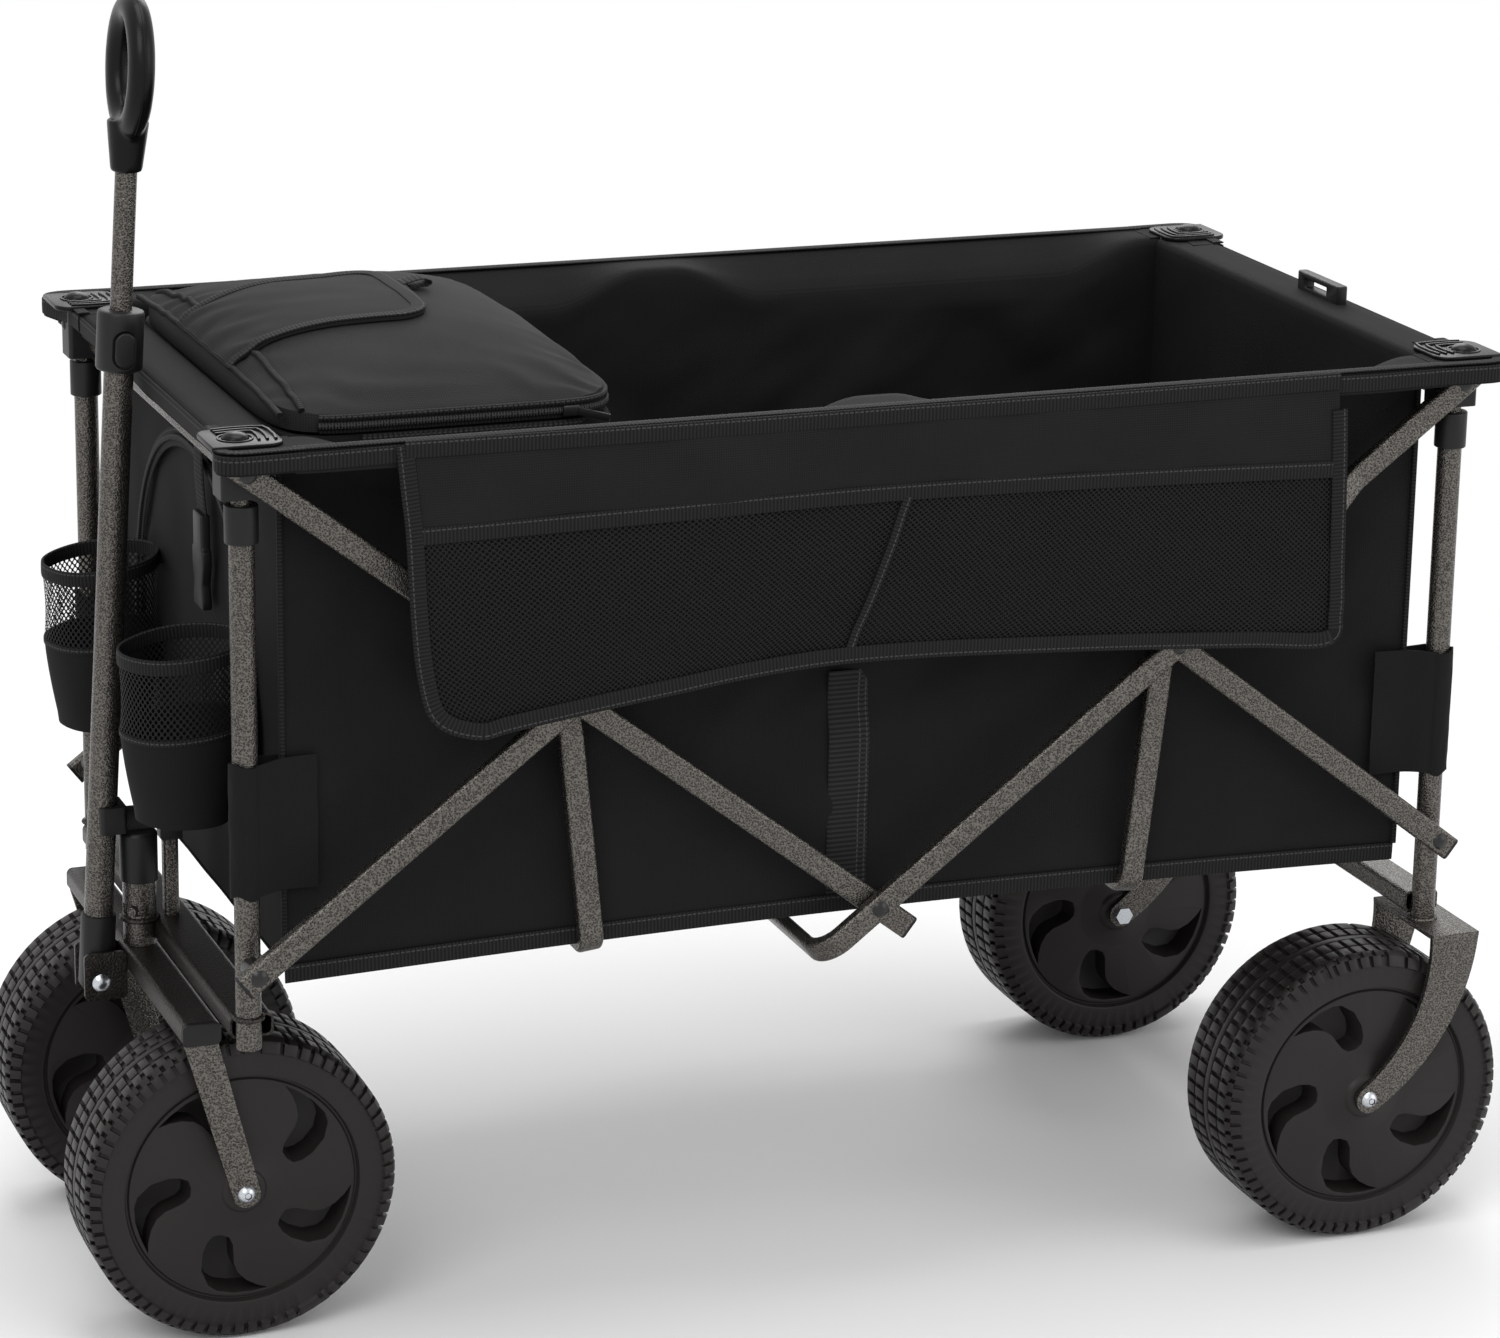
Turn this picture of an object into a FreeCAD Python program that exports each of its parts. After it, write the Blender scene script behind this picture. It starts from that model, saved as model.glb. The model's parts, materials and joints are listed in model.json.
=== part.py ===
import FreeCAD, Part
import math
import os

# Folding wagon: four telescoping corner legs, two X scissors a side, a fabric bag with a cooler in
# its front, a steered front axle and a telescoping pull handle. Millimetres, +X to the rear,
# +Z up, ground at z = 0, the handle at the -X end.

V = FreeCAD.Vector
X, Y, Z = V(1, 0, 0), V(0, 1, 0), V(0, 0, 1)

# ---- driving dimensions ----
leg_spacing = 820.0        # front to rear legs, centre to centre
leg_track = 406.0          # near to far legs, centre to centre
wheel_r = 102.5
wheel_top_z = 2 * wheel_r  # heights above are measured from the top of the wheels
pivot_low_z = wheel_top_z + 70.0      # bar pivots low on the legs
pivot_high_z = wheel_top_z + 385.0    # bar pivots on the corner heads
wheel_width = 67.0
wheel_hub_width = 75.0
wheel_groove_r = 76.0
front_wheel_track = 232.0
rear_wheel_track = 396.0
front_axle_back = 9.0      # front axle behind the front legs
rear_axle_ahead = 53.0     # rear axle ahead of the rear legs

leg_r = 8.0
leg_wall = 1.2
leg_top_z = wheel_top_z + 351.0
front_leg_bottom_z = wheel_top_z + 15.0
post_slack = 0.6           # radial play of the inner posts in the legs
post_r = leg_r - leg_wall - post_slack
post_bottom_z = wheel_top_z + 135.0
collar_r = 10.5
collar_low_z = wheel_top_z + 339.0
collar_high_z = wheel_top_z + 363.0

bar_width = 16.0
bar_thick = 9.0
bar_wall = 1.2
bar_end = 10.0             # bar end past its pivot
falling_bar_tail = 30.0    # front falling bar past the bottom centre pivot
rising_frame_tail = 48.0   # rear rising frame past the bottom centre pivot
joggle_back = 122.0        # joggle of the rear rising frame, from its top pivot
joggle_run = 24.0
frame_bend_r = 18.0
layer_gap = 1.0
rivet_r = 3.0
rivet_head_r = 5.5

support_lean = 18.0
support_low_z = wheel_top_z + 56.0
support_bend_r = 12.0

head_length = 28.0
head_low_z = wheel_top_z + 367.0
head_high_z = wheel_top_z + 400.0
head_wall = 15.0           # head reach inwards from the leg axis
top_tube_depth = 12.0
top_tube_height = 20.0
top_tube_low_z = wheel_top_z + 372.0
cap_size = 48.0
cap_thick = 3.5
cap_button_r = 9.0
cap_button_h = 4.5

cross_depth = 25.0
cross_height = 15.0
cross_low_z = wheel_top_z + 20.0
tube_wall = 1.5
kingpin_ahead = 19.0       # kingpin ahead of the front legs
kingpin_r = 11.0
kingpin_wall = 2.0
kingpin_top_z = wheel_top_z + 67.0
kingpin_cap_r = 12.5
kingpin_cap_top_z = wheel_top_z + 95.0
stop_pin_r = 3.0
stop_slot_half_angle = 55.0
stop_direction = 233.0     # degrees about +Z
beam_depth = 25.0
beam_height = 15.0
beam_low_z = wheel_top_z + 2.5
beam_half = 158.0
beam_cap = 3.0
arm_thick = 4.0
arm_top_width = 22.0
arm_end_r = 9.0
fork_end_r = 9.5
fork_top_z = wheel_top_z + 10.0
fork_plate = 3.0
fork_top_width = 35.0
fork_offset = 5.5          # middle of the fork's top behind the leg axis
axle_r = 4.0
axle_head_r = 5.8
axle_head = 3.5
nut_r = 6.8
nut_h = 5.0

handle_ahead = 49.0        # handle pivot ahead of the front legs
handle_pivot_z = wheel_top_z - 3.0
handle_lean = 3.4
handle_r = 9.5
handle_wall = 1.5
inner_handle_r = 7.0
inner_handle_wall = 1.2
socket_r = 11.5
socket_high = 43.0
handle_top = 425.0         # distances along the handle from its pivot
clamp_low = 406.0
clamp_high = 445.0
clamp_r = 15.0
inner_handle_low = 135.0
neck_low = 533.0
neck_r = 10.0
grip_centre = 599.0
grip_width = 78.0
grip_height = 92.0
grip_depth = 17.0
grip_limb = 19.0
ear_thick = 3.0
button_width = 12.0
button_height = 20.0
button_thick = 3.8
button_proud = 1.2
button_travel = 2.5

cloth = 3.0
bag_bend_r = 5.0           # outer bend between the bag's floor and sides
bag_inset = 25.0           # front and rear walls inwards from the leg axes
side_slack = 2.5           # between the floor supports and the bag
floor_z = wheel_top_z + 61.9
rim_low_z = wheel_top_z + 400.0
rim_slack = 6.5            # between the outer bars and the rim's hanging edge
flap_drop = 35.0
rim_flange = 3.0           # end rims reach this far past the leg axes
sleeve_low_z = wheel_top_z + 115.0
sleeve_high_z = wheel_top_z + 200.0
sleeve_r = 11.4
sleeve_wall = 1.2
board_thick = 6.0
cooler_depth = 222.0
cooler_low_z = wheel_top_z + 185.0
cooler_high_z = wheel_top_z + 397.0
cooler_wall = 8.0
cooler_inset = 12.0        # cooler inside the bag's sides
lid_edge = 10.0
lid_rise = 34.0
flap_half = 68.0
flap_depth = 136.0
flap_thick = 2.2
flap_corner_r = 26.0
port_margin = 18.0
cup_r = 39.0
cup_base_r = 33.0
cup_low_z = wheel_top_z + 136.0
cup_high_z = wheel_top_z + 253.0
cup_wall = 2.0
cup_y = 108.0
pocket_front = 92.0        # pocket edges from the front and rear leg axes
pocket_rear = 98.0
pocket_low_z = wheel_top_z + 215.0
pocket_slack = 0.6         # between the rim's edge and the pocket
pocket_thick = 3.6

snug = 0.05                # radial clearance of a fit
slide_gap = 0.1
clear = 0.3                # gap between soft and hard pieces

# ---- places worked out from them ----
mid_x = (rear_axle_ahead - front_axle_back) / 2
front_x = mid_x - leg_spacing / 2
rear_x = mid_x + leg_spacing / 2
side_y = leg_track / 2
half = leg_spacing / 2
rise = pivot_high_z - pivot_low_z
bar_angle = math.degrees(math.atan2(rise, half))
bar_length = math.hypot(half, rise)
cross_z = (pivot_low_z + pivot_high_z) / 2
cross_front_x = mid_x - half / 2
cross_rear_x = mid_x + half / 2
inner_y = side_y + leg_r + 1.5                   # inner face of the inner bar layer
inner_mid = inner_y + bar_thick / 2
outer_y = inner_y + bar_thick + layer_gap        # inner face of the outer bar layer
outer_mid = outer_y + bar_thick / 2
support_mid = inner_y - layer_gap - bar_thick / 2
side_plane = support_mid - bar_thick / 2 - side_slack   # outer face of the bag's sides
rim_outer = outer_y + bar_thick + rim_slack
cooler_half = side_plane - cooler_inset
pocket_inner = rim_outer + pocket_slack
kingpin_x = front_x - kingpin_ahead
front_axle_x = front_x + front_axle_back
rear_axle_x = rear_x - rear_axle_ahead
handle_x = front_x - handle_ahead
front_wheel_y = front_wheel_track / 2
rear_wheel_y = rear_wheel_track / 2
beam_high_z = beam_low_z + beam_height
cross_high_z = cross_low_z + cross_height
wall_front = front_x + bag_inset                 # outer face of the front wall
wall_rear = rear_x - bag_inset
lid_x = wall_front + cloth + clear
lid_z = cooler_high_z + clear
post_top_z = head_high_z - 8.0


# ---- small shapes ----
def block(x0, x1, y0, y1, z0, z1):
    return Part.makeBox(x1 - x0, y1 - y0, z1 - z0, V(x0, y0, z0))


def rod(point, axis, radius, length):
    return Part.makeCylinder(radius, length, V(*point), axis)


def pipe(point, axis, radius, bore, length):
    return rod(point, axis, radius, length).cut(rod(point, axis, bore, length))


def rounded(shape, radius, direction):
    """Fillet the straight edges that run along direction."""
    edges = []
    for edge in shape.Edges:
        if isinstance(edge.Curve, Part.Line) and abs(edge.Curve.Direction.dot(direction)) > 0.999:
            edges.append(edge)
    return shape.makeFillet(radius, edges)


def mirrored(shape):
    return shape.mirror(V(0, 0, 0), Y)


def pair(near):
    """The near piece and its copy on the far side, as two solids."""
    return Part.makeCompound([near, mirrored(near)])


def turned(shape, angle, x, z):
    """Tilt a shape drawn along +X up by angle, with its origin moved to x, z."""
    shape.Placement = FreeCAD.Placement(V(x, 0, z), FreeCAD.Rotation(Y, -angle)).multiply(shape.Placement)
    return shape


def route(points, radius):
    """A wire of straight runs joined by tangent arcs."""
    edges = []
    start = points[0]
    for before, corner, after in zip(points, points[1:], points[2:]):
        way_in = (corner - before).normalize()
        way_out = (after - corner).normalize()
        turn = way_in.getAngle(way_out)
        reach = radius * math.tan(turn / 2)
        enter = corner - way_in * reach
        leave = corner + way_out * reach
        bisector = (way_out - way_in).normalize()
        middle = corner + bisector * (radius / math.cos(turn / 2) - radius)
        edges.append(Part.LineSegment(start, enter).toShape())
        edges.append(Part.Arc(enter, middle, leave).toShape())
        start = leave
    edges.append(Part.LineSegment(start, points[-1]).toShape())
    return Part.Wire(edges)


def flat_section(centre, across, along, thick, width):
    """A closed rounded rectangle, thick along across and width along along."""
    corner = min(thick, width) * 0.28
    a, b = across * (thick / 2), along * (width / 2)
    ca, cb = across * corner, along * corner
    bulge = 1 - math.sqrt(0.5)
    edges = []
    corners = ((1, 1), (-1, 1), (-1, -1), (1, -1))
    for number, (i, j) in enumerate(corners):
        tip = centre + a * i + b * j
        first, second = tip - cb * j, tip - ca * i
        if i * j < 0:
            first, second = second, first
        middle = tip - ca * (i * bulge) - cb * (j * bulge)
        edges.append(Part.Arc(first, middle, second).toShape())
        ni, nj = corners[(number + 1) % 4]
        following = centre + a * ni + b * nj
        next_first = following - (ca * ni if ni * nj < 0 else cb * nj)
        edges.append(Part.LineSegment(second, next_first).toShape())
    return Part.Wire(edges)


def flat_tube(points, radius, binormal, thick, width, wall):
    """A hollow flat tube bent along points, its width along binormal."""
    path = route(points, radius)
    heading = (points[1] - points[0]).normalize()
    across = binormal.cross(heading)
    solids = []
    for shrink in (0.0, 2 * wall):
        section = flat_section(points[0], across, binormal, thick - shrink, width - shrink)
        maker = Part.BRepOffsetAPI.MakePipeShell(path)
        maker.setBiNormalMode(binormal)
        maker.add(section)
        maker.build()
        maker.makeSolid()
        solids.append(maker.shape())
    return solids[0].cut(solids[1])


def straight_tube(start, end, binormal, thick, width, wall):
    heading = (end - start).normalize()
    across = binormal.cross(heading)
    outside = Part.Face(flat_section(start, across, binormal, thick, width)).extrude(end - start)
    bore = flat_section(start, across, binormal, thick - 2 * wall, width - 2 * wall)
    return outside.cut(Part.Face(bore).extrude(end - start))


def dome(point, direction, radius, height):
    """A rivet or button head: a spherical cap standing on point."""
    sphere_r = (radius ** 2 + height ** 2) / (2 * height)
    centre = V(*point) - direction * (sphere_r - height)
    ball = Part.makeSphere(sphere_r, centre)
    return ball.common(rod(point, direction, radius + 1, height + 1))


def rivet(x, z, low_y, high_y, inner_head=1.8):
    """A rivet on the near side from low_y inside to high_y outside, given as positive distances."""
    shank = rod((x, -low_y, z), -Y, rivet_r, high_y - low_y)
    body = shank.fuse(dome((x, -high_y, z), -Y, rivet_head_r, 2.4))
    if inner_head:
        body = body.fuse(rod((x, -low_y, z), Y, rivet_head_r - 0.5, inner_head))
    return body


def rivet_hole(x, z, low_y, high_y):
    return rod((x, -low_y, z), -Y, rivet_r + snug, high_y - low_y)


# ---- scissor bars ----
def bar(x, z, angle, layer_mid, tail, holes):
    """A near-side bar from its first pivot at x, z; tail is its length past the last pivot."""
    start, end = V(-bar_end, -layer_mid, 0), V(bar_length + tail, -layer_mid, 0)
    shape = straight_tube(start, end, Z, bar_thick, bar_width, bar_wall)
    for place in holes:
        shape = shape.cut(rivet_hole(place, 0, layer_mid - bar_thick, layer_mid + bar_thick))
    return turned(shape, angle, x, z)


def bar_plug(place, x, z, angle, layer_mid, outwards):
    """A plastic plug that closes one end of a bar."""
    room = bar_thick - 2 * bar_wall - 2 * snug
    tall = bar_width - 2 * bar_wall - 2 * snug
    plug_depth = 6.0
    at = V(place, -layer_mid, 0)
    inside = Part.Face(flat_section(at, Y, Z, room, tall)).extrude(X * (-plug_depth * outwards))
    cap = Part.Face(flat_section(at, Y, Z, bar_thick, bar_width)).extrude(X * (2.0 * outwards))
    return turned(inside.fuse(cap), angle, x, z)


def rear_rising_frame():
    """One bent tube: up both sides to the rear heads, and across below the floor."""
    joggle = bar_length - joggle_back
    near = [V(bar_length + bar_end, -inner_mid, 0), V(joggle + joggle_run, -inner_mid, 0),
            V(joggle, -outer_mid, 0), V(-rising_frame_tail, -outer_mid, 0)]
    far = [V(p.x, -p.y, 0) for p in reversed(near)]
    shape = flat_tube(near + far, frame_bend_r, Z, bar_thick, bar_width, bar_wall)
    for place, mid in ((0, outer_mid), (bar_length / 2, outer_mid), (bar_length, inner_mid)):
        drill = rivet_hole(place, 0, mid - bar_thick, mid + bar_thick)
        shape = shape.cut(drill).cut(mirrored(drill))
    return turned(shape, bar_angle, mid_x, pivot_low_z)


def floor_support(x, lean):
    """A U of flat tube that hangs from both crossings and passes below the floor."""
    top_x, top_z = x - lean * 0.06, cross_z + bar_end
    drop = V(x + lean - top_x, 0, support_low_z - top_z)
    points = [V(top_x, -support_mid, top_z), V(top_x, -support_mid, top_z) + drop,
              V(top_x, support_mid, top_z) + drop, V(top_x, support_mid, top_z)]
    binormal = drop.cross(Y).normalize()
    shape = flat_tube(points, support_bend_r, binormal, bar_thick, bar_width, bar_wall)
    drill = rivet_hole(x, cross_z, support_mid - bar_thick, support_mid + bar_thick)
    return shape.cut(drill).cut(mirrored(drill))


# ---- legs, heads and cross tubes ----
def leg(x, bottom_z):
    tube = pipe((x, -side_y, bottom_z), Z, leg_r, leg_r - leg_wall, leg_top_z - bottom_z)
    drill = rod((x, -side_y - leg_r - 2, pivot_low_z), Y, rivet_r + snug, 2 * leg_r + 4)
    return tube.cut(drill)


def leg_collar(x):
    """The plastic collar on a leg's top that guides the inner post."""
    body = rod((x, -side_y, collar_low_z), Z, collar_r, collar_high_z - collar_low_z)
    body = body.cut(rod((x, -side_y, collar_low_z), Z, leg_r + snug, leg_top_z - collar_low_z))
    return body.cut(rod((x, -side_y, collar_low_z), Z, post_r + slide_gap, collar_high_z - collar_low_z))


def inner_post(x):
    bore = post_r - leg_wall
    return pipe((x, -side_y, post_bottom_z), Z, post_r, bore, post_top_z - post_bottom_z)


def head(x):
    """A moulded corner head: it sits on the inner post and takes the bar and the top tube."""
    outer = side_y + leg_r + 0.5
    body = block(x - head_length / 2, x + head_length / 2, -outer, -(side_y - head_wall),
                 head_low_z, head_high_z)
    body = rounded(body, 3.0, Z)
    body = body.cut(rod((x, -side_y, head_low_z - 1), Z, post_r + snug, post_top_z - head_low_z + 1))
    return body.cut(rod((x, -outer - 1, pivot_high_z), Y, rivet_r + snug, 1 + leg_r + 0.5 - post_r))


def top_tube(x):
    reach = side_y - head_wall
    z = top_tube_low_z + top_tube_height / 2
    return straight_tube(V(x, -reach, z), V(x, reach, z), Z, top_tube_depth, top_tube_height, tube_wall)


def corner_cap(x, inwards):
    """A flat moulded cap over the fabric corner, with a plain domed button."""
    low = head_high_z + clear
    grow = cap_size / 2
    plate = block(x - grow, x + grow, -side_y - grow, -side_y + grow, low, low + cap_thick)
    plate = rounded(plate, 14.0, Z)
    plate = plate.makeFillet(1.2, [e for e in plate.Edges if e.BoundBox.ZMin > low + cap_thick - 0.01])
    spot = (x + inwards * 2.0, -side_y + 2.0, low + cap_thick)
    return plate.fuse(dome(spot, Z, cap_button_r, cap_button_h))


def cross_tube(x, low_z, depth_ahead, depth_back, legs_x):
    """A rectangular tube between two legs, saddled to their round sides."""
    reach = side_y - leg_r / 2
    mid = x + (depth_back - depth_ahead) / 2
    depth = depth_back + depth_ahead
    z = low_z + cross_height / 2
    tube = straight_tube(V(mid, -reach, z), V(mid, reach, z), Z, depth, cross_height, tube_wall)
    for side in (-1, 1):
        tube = tube.cut(rod((legs_x, side * side_y, low_z - 5), Z, leg_r, cross_height + 10))
    return tube


# ---- wheels and what carries them ----
def swirl_pocket(depth):
    """One curved recess of the wheel's face, drawn in X and Z about the hub."""
    def at(radius, angle):
        return V(radius * math.cos(math.radians(angle)), 0, radius * math.sin(math.radians(angle)))
    tip, root, outer = at(68, 8), at(33, 52), at(68, 50)
    edges = [Part.Arc(tip, at(46, 22), root).toShape(), Part.Arc(root, at(48, 58), outer).toShape(),
             Part.Arc(outer, at(68, 29), tip).toShape()]
    return Part.Face(Part.Wire(edges)).extrude(Y * depth)


def wheel(x, y):
    """A moulded wheel about the Y axis: wide tread, flat sides, five swirl recesses a side, hub."""
    hub, tread = wheel_hub_width / 2, wheel_width / 2
    bore = axle_r + snug
    outline = [(bore, -hub), (13, -hub), (24, -tread + 2), (wheel_groove_r - 1.5, -tread + 2),
               (wheel_groove_r, -tread), (wheel_r - 7, -tread), (wheel_r - 1, -tread + 7), (wheel_r, -4)]
    points = [V(r, w, 0) for r, w in outline] + [V(r, -w, 0) for r, w in reversed(outline)]
    face = Part.Face(Part.makePolygon(points + points[:1]))
    body = face.revolve(V(0, 0, 0), Y, 360)
    pocket_depth = 20.0
    for side in (-1, 1):
        for number in range(5):
            pocket = swirl_pocket(pocket_depth)
            pocket.translate(V(0, -tread - 1 if side < 0 else tread + 1 - pocket_depth, 0))
            pocket.rotate(V(0, 0, 0), Y, number * 72)
            body = body.cut(pocket)
    body.translate(V(x, y, wheel_r))
    return body


def axle(x, y, span):
    """A zinc bolt through both arms, with a domed head outside and a nut inside, near side."""
    head_y, nut_y = y - span / 2, y + span / 2
    head = dome((x, head_y, wheel_r), -Y, axle_head_r, axle_head)
    bolt = rod((x, head_y, wheel_r), Y, axle_r, span).fuse(head)
    corners = [V(x + nut_r * math.cos(a), nut_y, wheel_r + nut_r * math.sin(a))
               for a in [math.radians(60 * n) for n in range(7)]]
    return bolt.fuse(Part.Face(Part.makePolygon(corners)).extrude(Y * nut_h))


def front_arm(y):
    """A flat arm from the beam's underside down and back to the front axle."""
    top = kingpin_x
    plate = Part.makePolygon([V(top - arm_top_width / 2, y, beam_low_z), V(top + arm_top_width / 2, y, beam_low_z),
                              V(front_axle_x + arm_end_r * 0.96, y, wheel_r + arm_end_r * 0.28),
                              V(front_axle_x - arm_end_r * 0.96, y, wheel_r - arm_end_r * 0.28),
                              V(top - arm_top_width / 2, y, beam_low_z)])
    plate = Part.Face(plate).extrude(Y * arm_thick)
    plate = plate.fuse(rod((front_axle_x, y, wheel_r), Y, arm_end_r, arm_thick)).removeSplitter()
    return plate.cut(rod((front_axle_x, y, wheel_r), Y, axle_r + snug, arm_thick))


def fork_side(y):
    """A pressed arm that curves forwards from the leg's foot to the rear axle."""
    drop = fork_top_z - wheel_r
    ahead = rear_axle_ahead + fork_offset
    radius = (ahead ** 2 + drop ** 2) / (2 * ahead)
    centre_x = rear_x + fork_offset - radius
    sweep = math.degrees(math.asin(drop / radius))

    def at(share, offset):
        angle = math.radians(sweep * share)
        reach = radius + offset
        return V(centre_x + reach * math.cos(angle), y, fork_top_z - reach * math.sin(angle))
    top, middle, end = fork_top_width / 2, 13.0, fork_end_r * 0.98
    edges = [Part.Arc(at(0, top), at(0.5, middle), at(1, end)).toShape(),
             Part.LineSegment(at(1, end), at(1, -end)).toShape(),
             Part.Arc(at(1, -end), at(0.5, -middle), at(0, -top)).toShape(),
             Part.LineSegment(at(0, -top), at(0, top)).toShape()]
    plate = Part.Face(Part.Wire(edges)).extrude(Y * arm_thick)
    plate = plate.fuse(rod((rear_axle_x, y, wheel_r), Y, fork_end_r, arm_thick))
    return plate.cut(rod((rear_axle_x, y, wheel_r), Y, axle_r + snug, arm_thick))


def rear_fork():
    reach = wheel_hub_width / 2 + 1.0
    low, high = -rear_wheel_y - reach - arm_thick, -rear_wheel_y + reach
    x0 = rear_x + fork_offset - fork_top_width / 2
    top = block(x0, x0 + fork_top_width, low, high + arm_thick, fork_top_z - fork_plate, fork_top_z)
    return fork_side(low).fuse(fork_side(high)).fuse(top).removeSplitter()


def kingpin_tube():
    tube = pipe((kingpin_x, 0, beam_high_z + clear), Z, kingpin_r, kingpin_r - kingpin_wall,
                kingpin_top_z - beam_high_z - clear)
    slot_low = (beam_high_z + kingpin_top_z) / 2 - stop_pin_r - 0.6
    slot = Part.makeCylinder(kingpin_r + 2, 2 * stop_pin_r + 1.2, V(kingpin_x, 0, slot_low), Z,
                             2 * stop_slot_half_angle)
    slot.rotate(V(kingpin_x, 0, 0), Z, stop_direction - stop_slot_half_angle)
    return tube.cut(slot)


def kingpin_shaft():
    shaft = rod((kingpin_x, 0, beam_high_z), Z, kingpin_r - kingpin_wall - snug, kingpin_top_z - beam_high_z)
    angle = math.radians(stop_direction)
    out = V(math.cos(angle), math.sin(angle), 0)
    pin = rod((kingpin_x, 0, (beam_high_z + kingpin_top_z) / 2), out, stop_pin_r, kingpin_r + 2.5)
    return shaft.fuse(pin)


def handle_keeper():
    """A moulded clip on the keeper post whose open jaws hold the upright handle."""
    low, high = kingpin_cap_top_z + 2.0, kingpin_cap_top_z + 20.0
    along = (low + high) / 2 - handle_pivot_z
    x = handle_x + along * math.tan(math.radians(handle_lean))
    body = block(x - 4.0, x + 14.0, -13.0, 13.0, low, high)
    body = rounded(body, 3.0, Z)
    stem = block(x + 12.0, front_x + 9.0, -6.0, 6.0, low, high - 5.0)
    body = body.fuse(stem).fuse(block(front_x - 5.0, front_x + 9.0, -7.0, 7.0, low - 9.0, low + 1.0))
    post = block(front_x - 3.2, front_x + 7.2, -5.2, 5.2, low - 10.0, low - 1.0)
    return body.cut(on_handle(rod((0, 0, 0), Z, handle_r + clear, handle_top))).cut(post)


# ---- handle, drawn upright along +Z from its pivot ----
def on_handle(shape):
    shape.Placement = FreeCAD.Placement(V(handle_x, 0, handle_pivot_z), FreeCAD.Rotation(Y, handle_lean))
    return shape


def handle_socket():
    body = rod((0, 0, 0), Z, socket_r, socket_high)
    foot = rod((0, -socket_r, 0), Y, socket_r, 2 * socket_r)
    foot = foot.common(rod((0, 0, -socket_r), Z, socket_r, 2 * socket_r))
    body = body.fuse(foot).removeSplitter()
    body = body.cut(rod((0, 0, 14), Z, handle_r + snug, socket_high))
    return on_handle(body.cut(rod((0, -socket_r - 1, 0), Y, axle_r + snug, 2 * socket_r + 2)))


def clamp_collar():
    body = rod((0, 0, clamp_low), Z, clamp_r, clamp_high - clamp_low)
    body = body.makeFillet(1.5, [e for e in body.Edges if isinstance(e.Curve, Part.Circle)])
    body = body.cut(rod((0, 0, clamp_low - 1), Z, handle_r + snug, handle_top - clamp_low + 1))
    body = body.cut(rod((0, 0, clamp_low - 1), Z, inner_handle_r + slide_gap, clamp_high))
    well = button_form(button_width + 2 * clear, button_height + 2 * clear, 6.0, handle_r + slide_gap)
    return on_handle(body.cut(well))


def button_form(wide, tall, thick, inner):
    """An oval pad on the near face of the collar; inner is its back face's distance from the axis."""
    z = (clamp_low + clamp_high) / 2 - 4.0
    r = wide / 2
    straight = tall / 2 - r
    pad = block(-r, r, -inner - thick, -inner, z - straight, z + straight)
    for end in (-1, 1):
        pad = pad.fuse(rod((0, -inner, z + end * straight), -Y, r, thick))
    return pad.removeSplitter()


def collar_button():
    inner = clamp_r + button_proud - button_thick
    return on_handle(button_form(button_width, button_height, button_thick, inner))


def inner_handle():
    tube = pipe((0, 0, inner_handle_low), Z, inner_handle_r, inner_handle_r - inner_handle_wall,
                neck_low + 15.0 - inner_handle_low)
    guide = handle_r - handle_wall - slide_gap
    bush = pipe((0, 0, inner_handle_low), Z, guide, inner_handle_r - inner_handle_wall, 12.0)
    return on_handle(tube.fuse(bush))


def grip():
    """A closed ring grip across the wagon, on a neck that caps the inner tube."""
    def oval(wide, tall, deep):
        if wide > tall:
            ring = Part.Ellipse(V(0, 0, 0), wide / 2, tall / 2).toShape()
        else:
            ring = Part.Ellipse(V(0, 0, 0), tall / 2, wide / 2).toShape()
            ring.rotate(V(0, 0, 0), Z, 90)
        solid = Part.Face(Part.Wire([ring])).extrude(Z * deep)
        solid.translate(V(0, 0, -deep / 2))
        solid.rotate(V(0, 0, 0), X, 90)
        solid.rotate(V(0, 0, 0), Z, 90)
        solid.translate(V(0, 0, grip_centre))
        return solid
    inner_wide, inner_tall = grip_width - 2 * grip_limb, grip_height - 2 * grip_limb
    ring = oval(grip_width, grip_height, grip_depth).cut(oval(inner_wide, inner_tall, grip_depth + 2))
    bends = [e for e in ring.Edges if isinstance(e.Curve, (Part.Ellipse, Part.BSplineCurve))]
    ring = ring.makeFillet(5.5, bends)
    neck = rod((0, 0, neck_low), Z, neck_r, grip_centre - grip_height / 2 + 6 - neck_low)
    body = ring.fuse(neck)
    return on_handle(body.cut(rod((0, 0, neck_low - 1), Z, inner_handle_r + snug, 17.0)))


def handle_ear():
    """A welded ear ahead of the beam, near side, that carries the handle's bolt."""
    ear_y = -(socket_r + clear + ear_thick)
    front = handle_x - 11.0
    back = kingpin_x - beam_depth / 2
    plate = block(front, back, ear_y, ear_y + ear_thick, handle_pivot_z - 12.0, beam_high_z)
    plate = rounded(plate, 4.0, Y)
    return plate.cut(rod((handle_x, ear_y - 1, handle_pivot_z), Y, axle_r + snug, ear_thick + 2))


def handle_bolt():
    reach = socket_r + clear + ear_thick
    bolt = rod((handle_x, -reach, handle_pivot_z), Y, axle_r, 2 * reach)
    bolt = bolt.fuse(dome((handle_x, -reach, handle_pivot_z), -Y, 6.0, 3.0))
    return bolt.fuse(rod((handle_x, reach, handle_pivot_z), Y, 6.0, 4.0))


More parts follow.
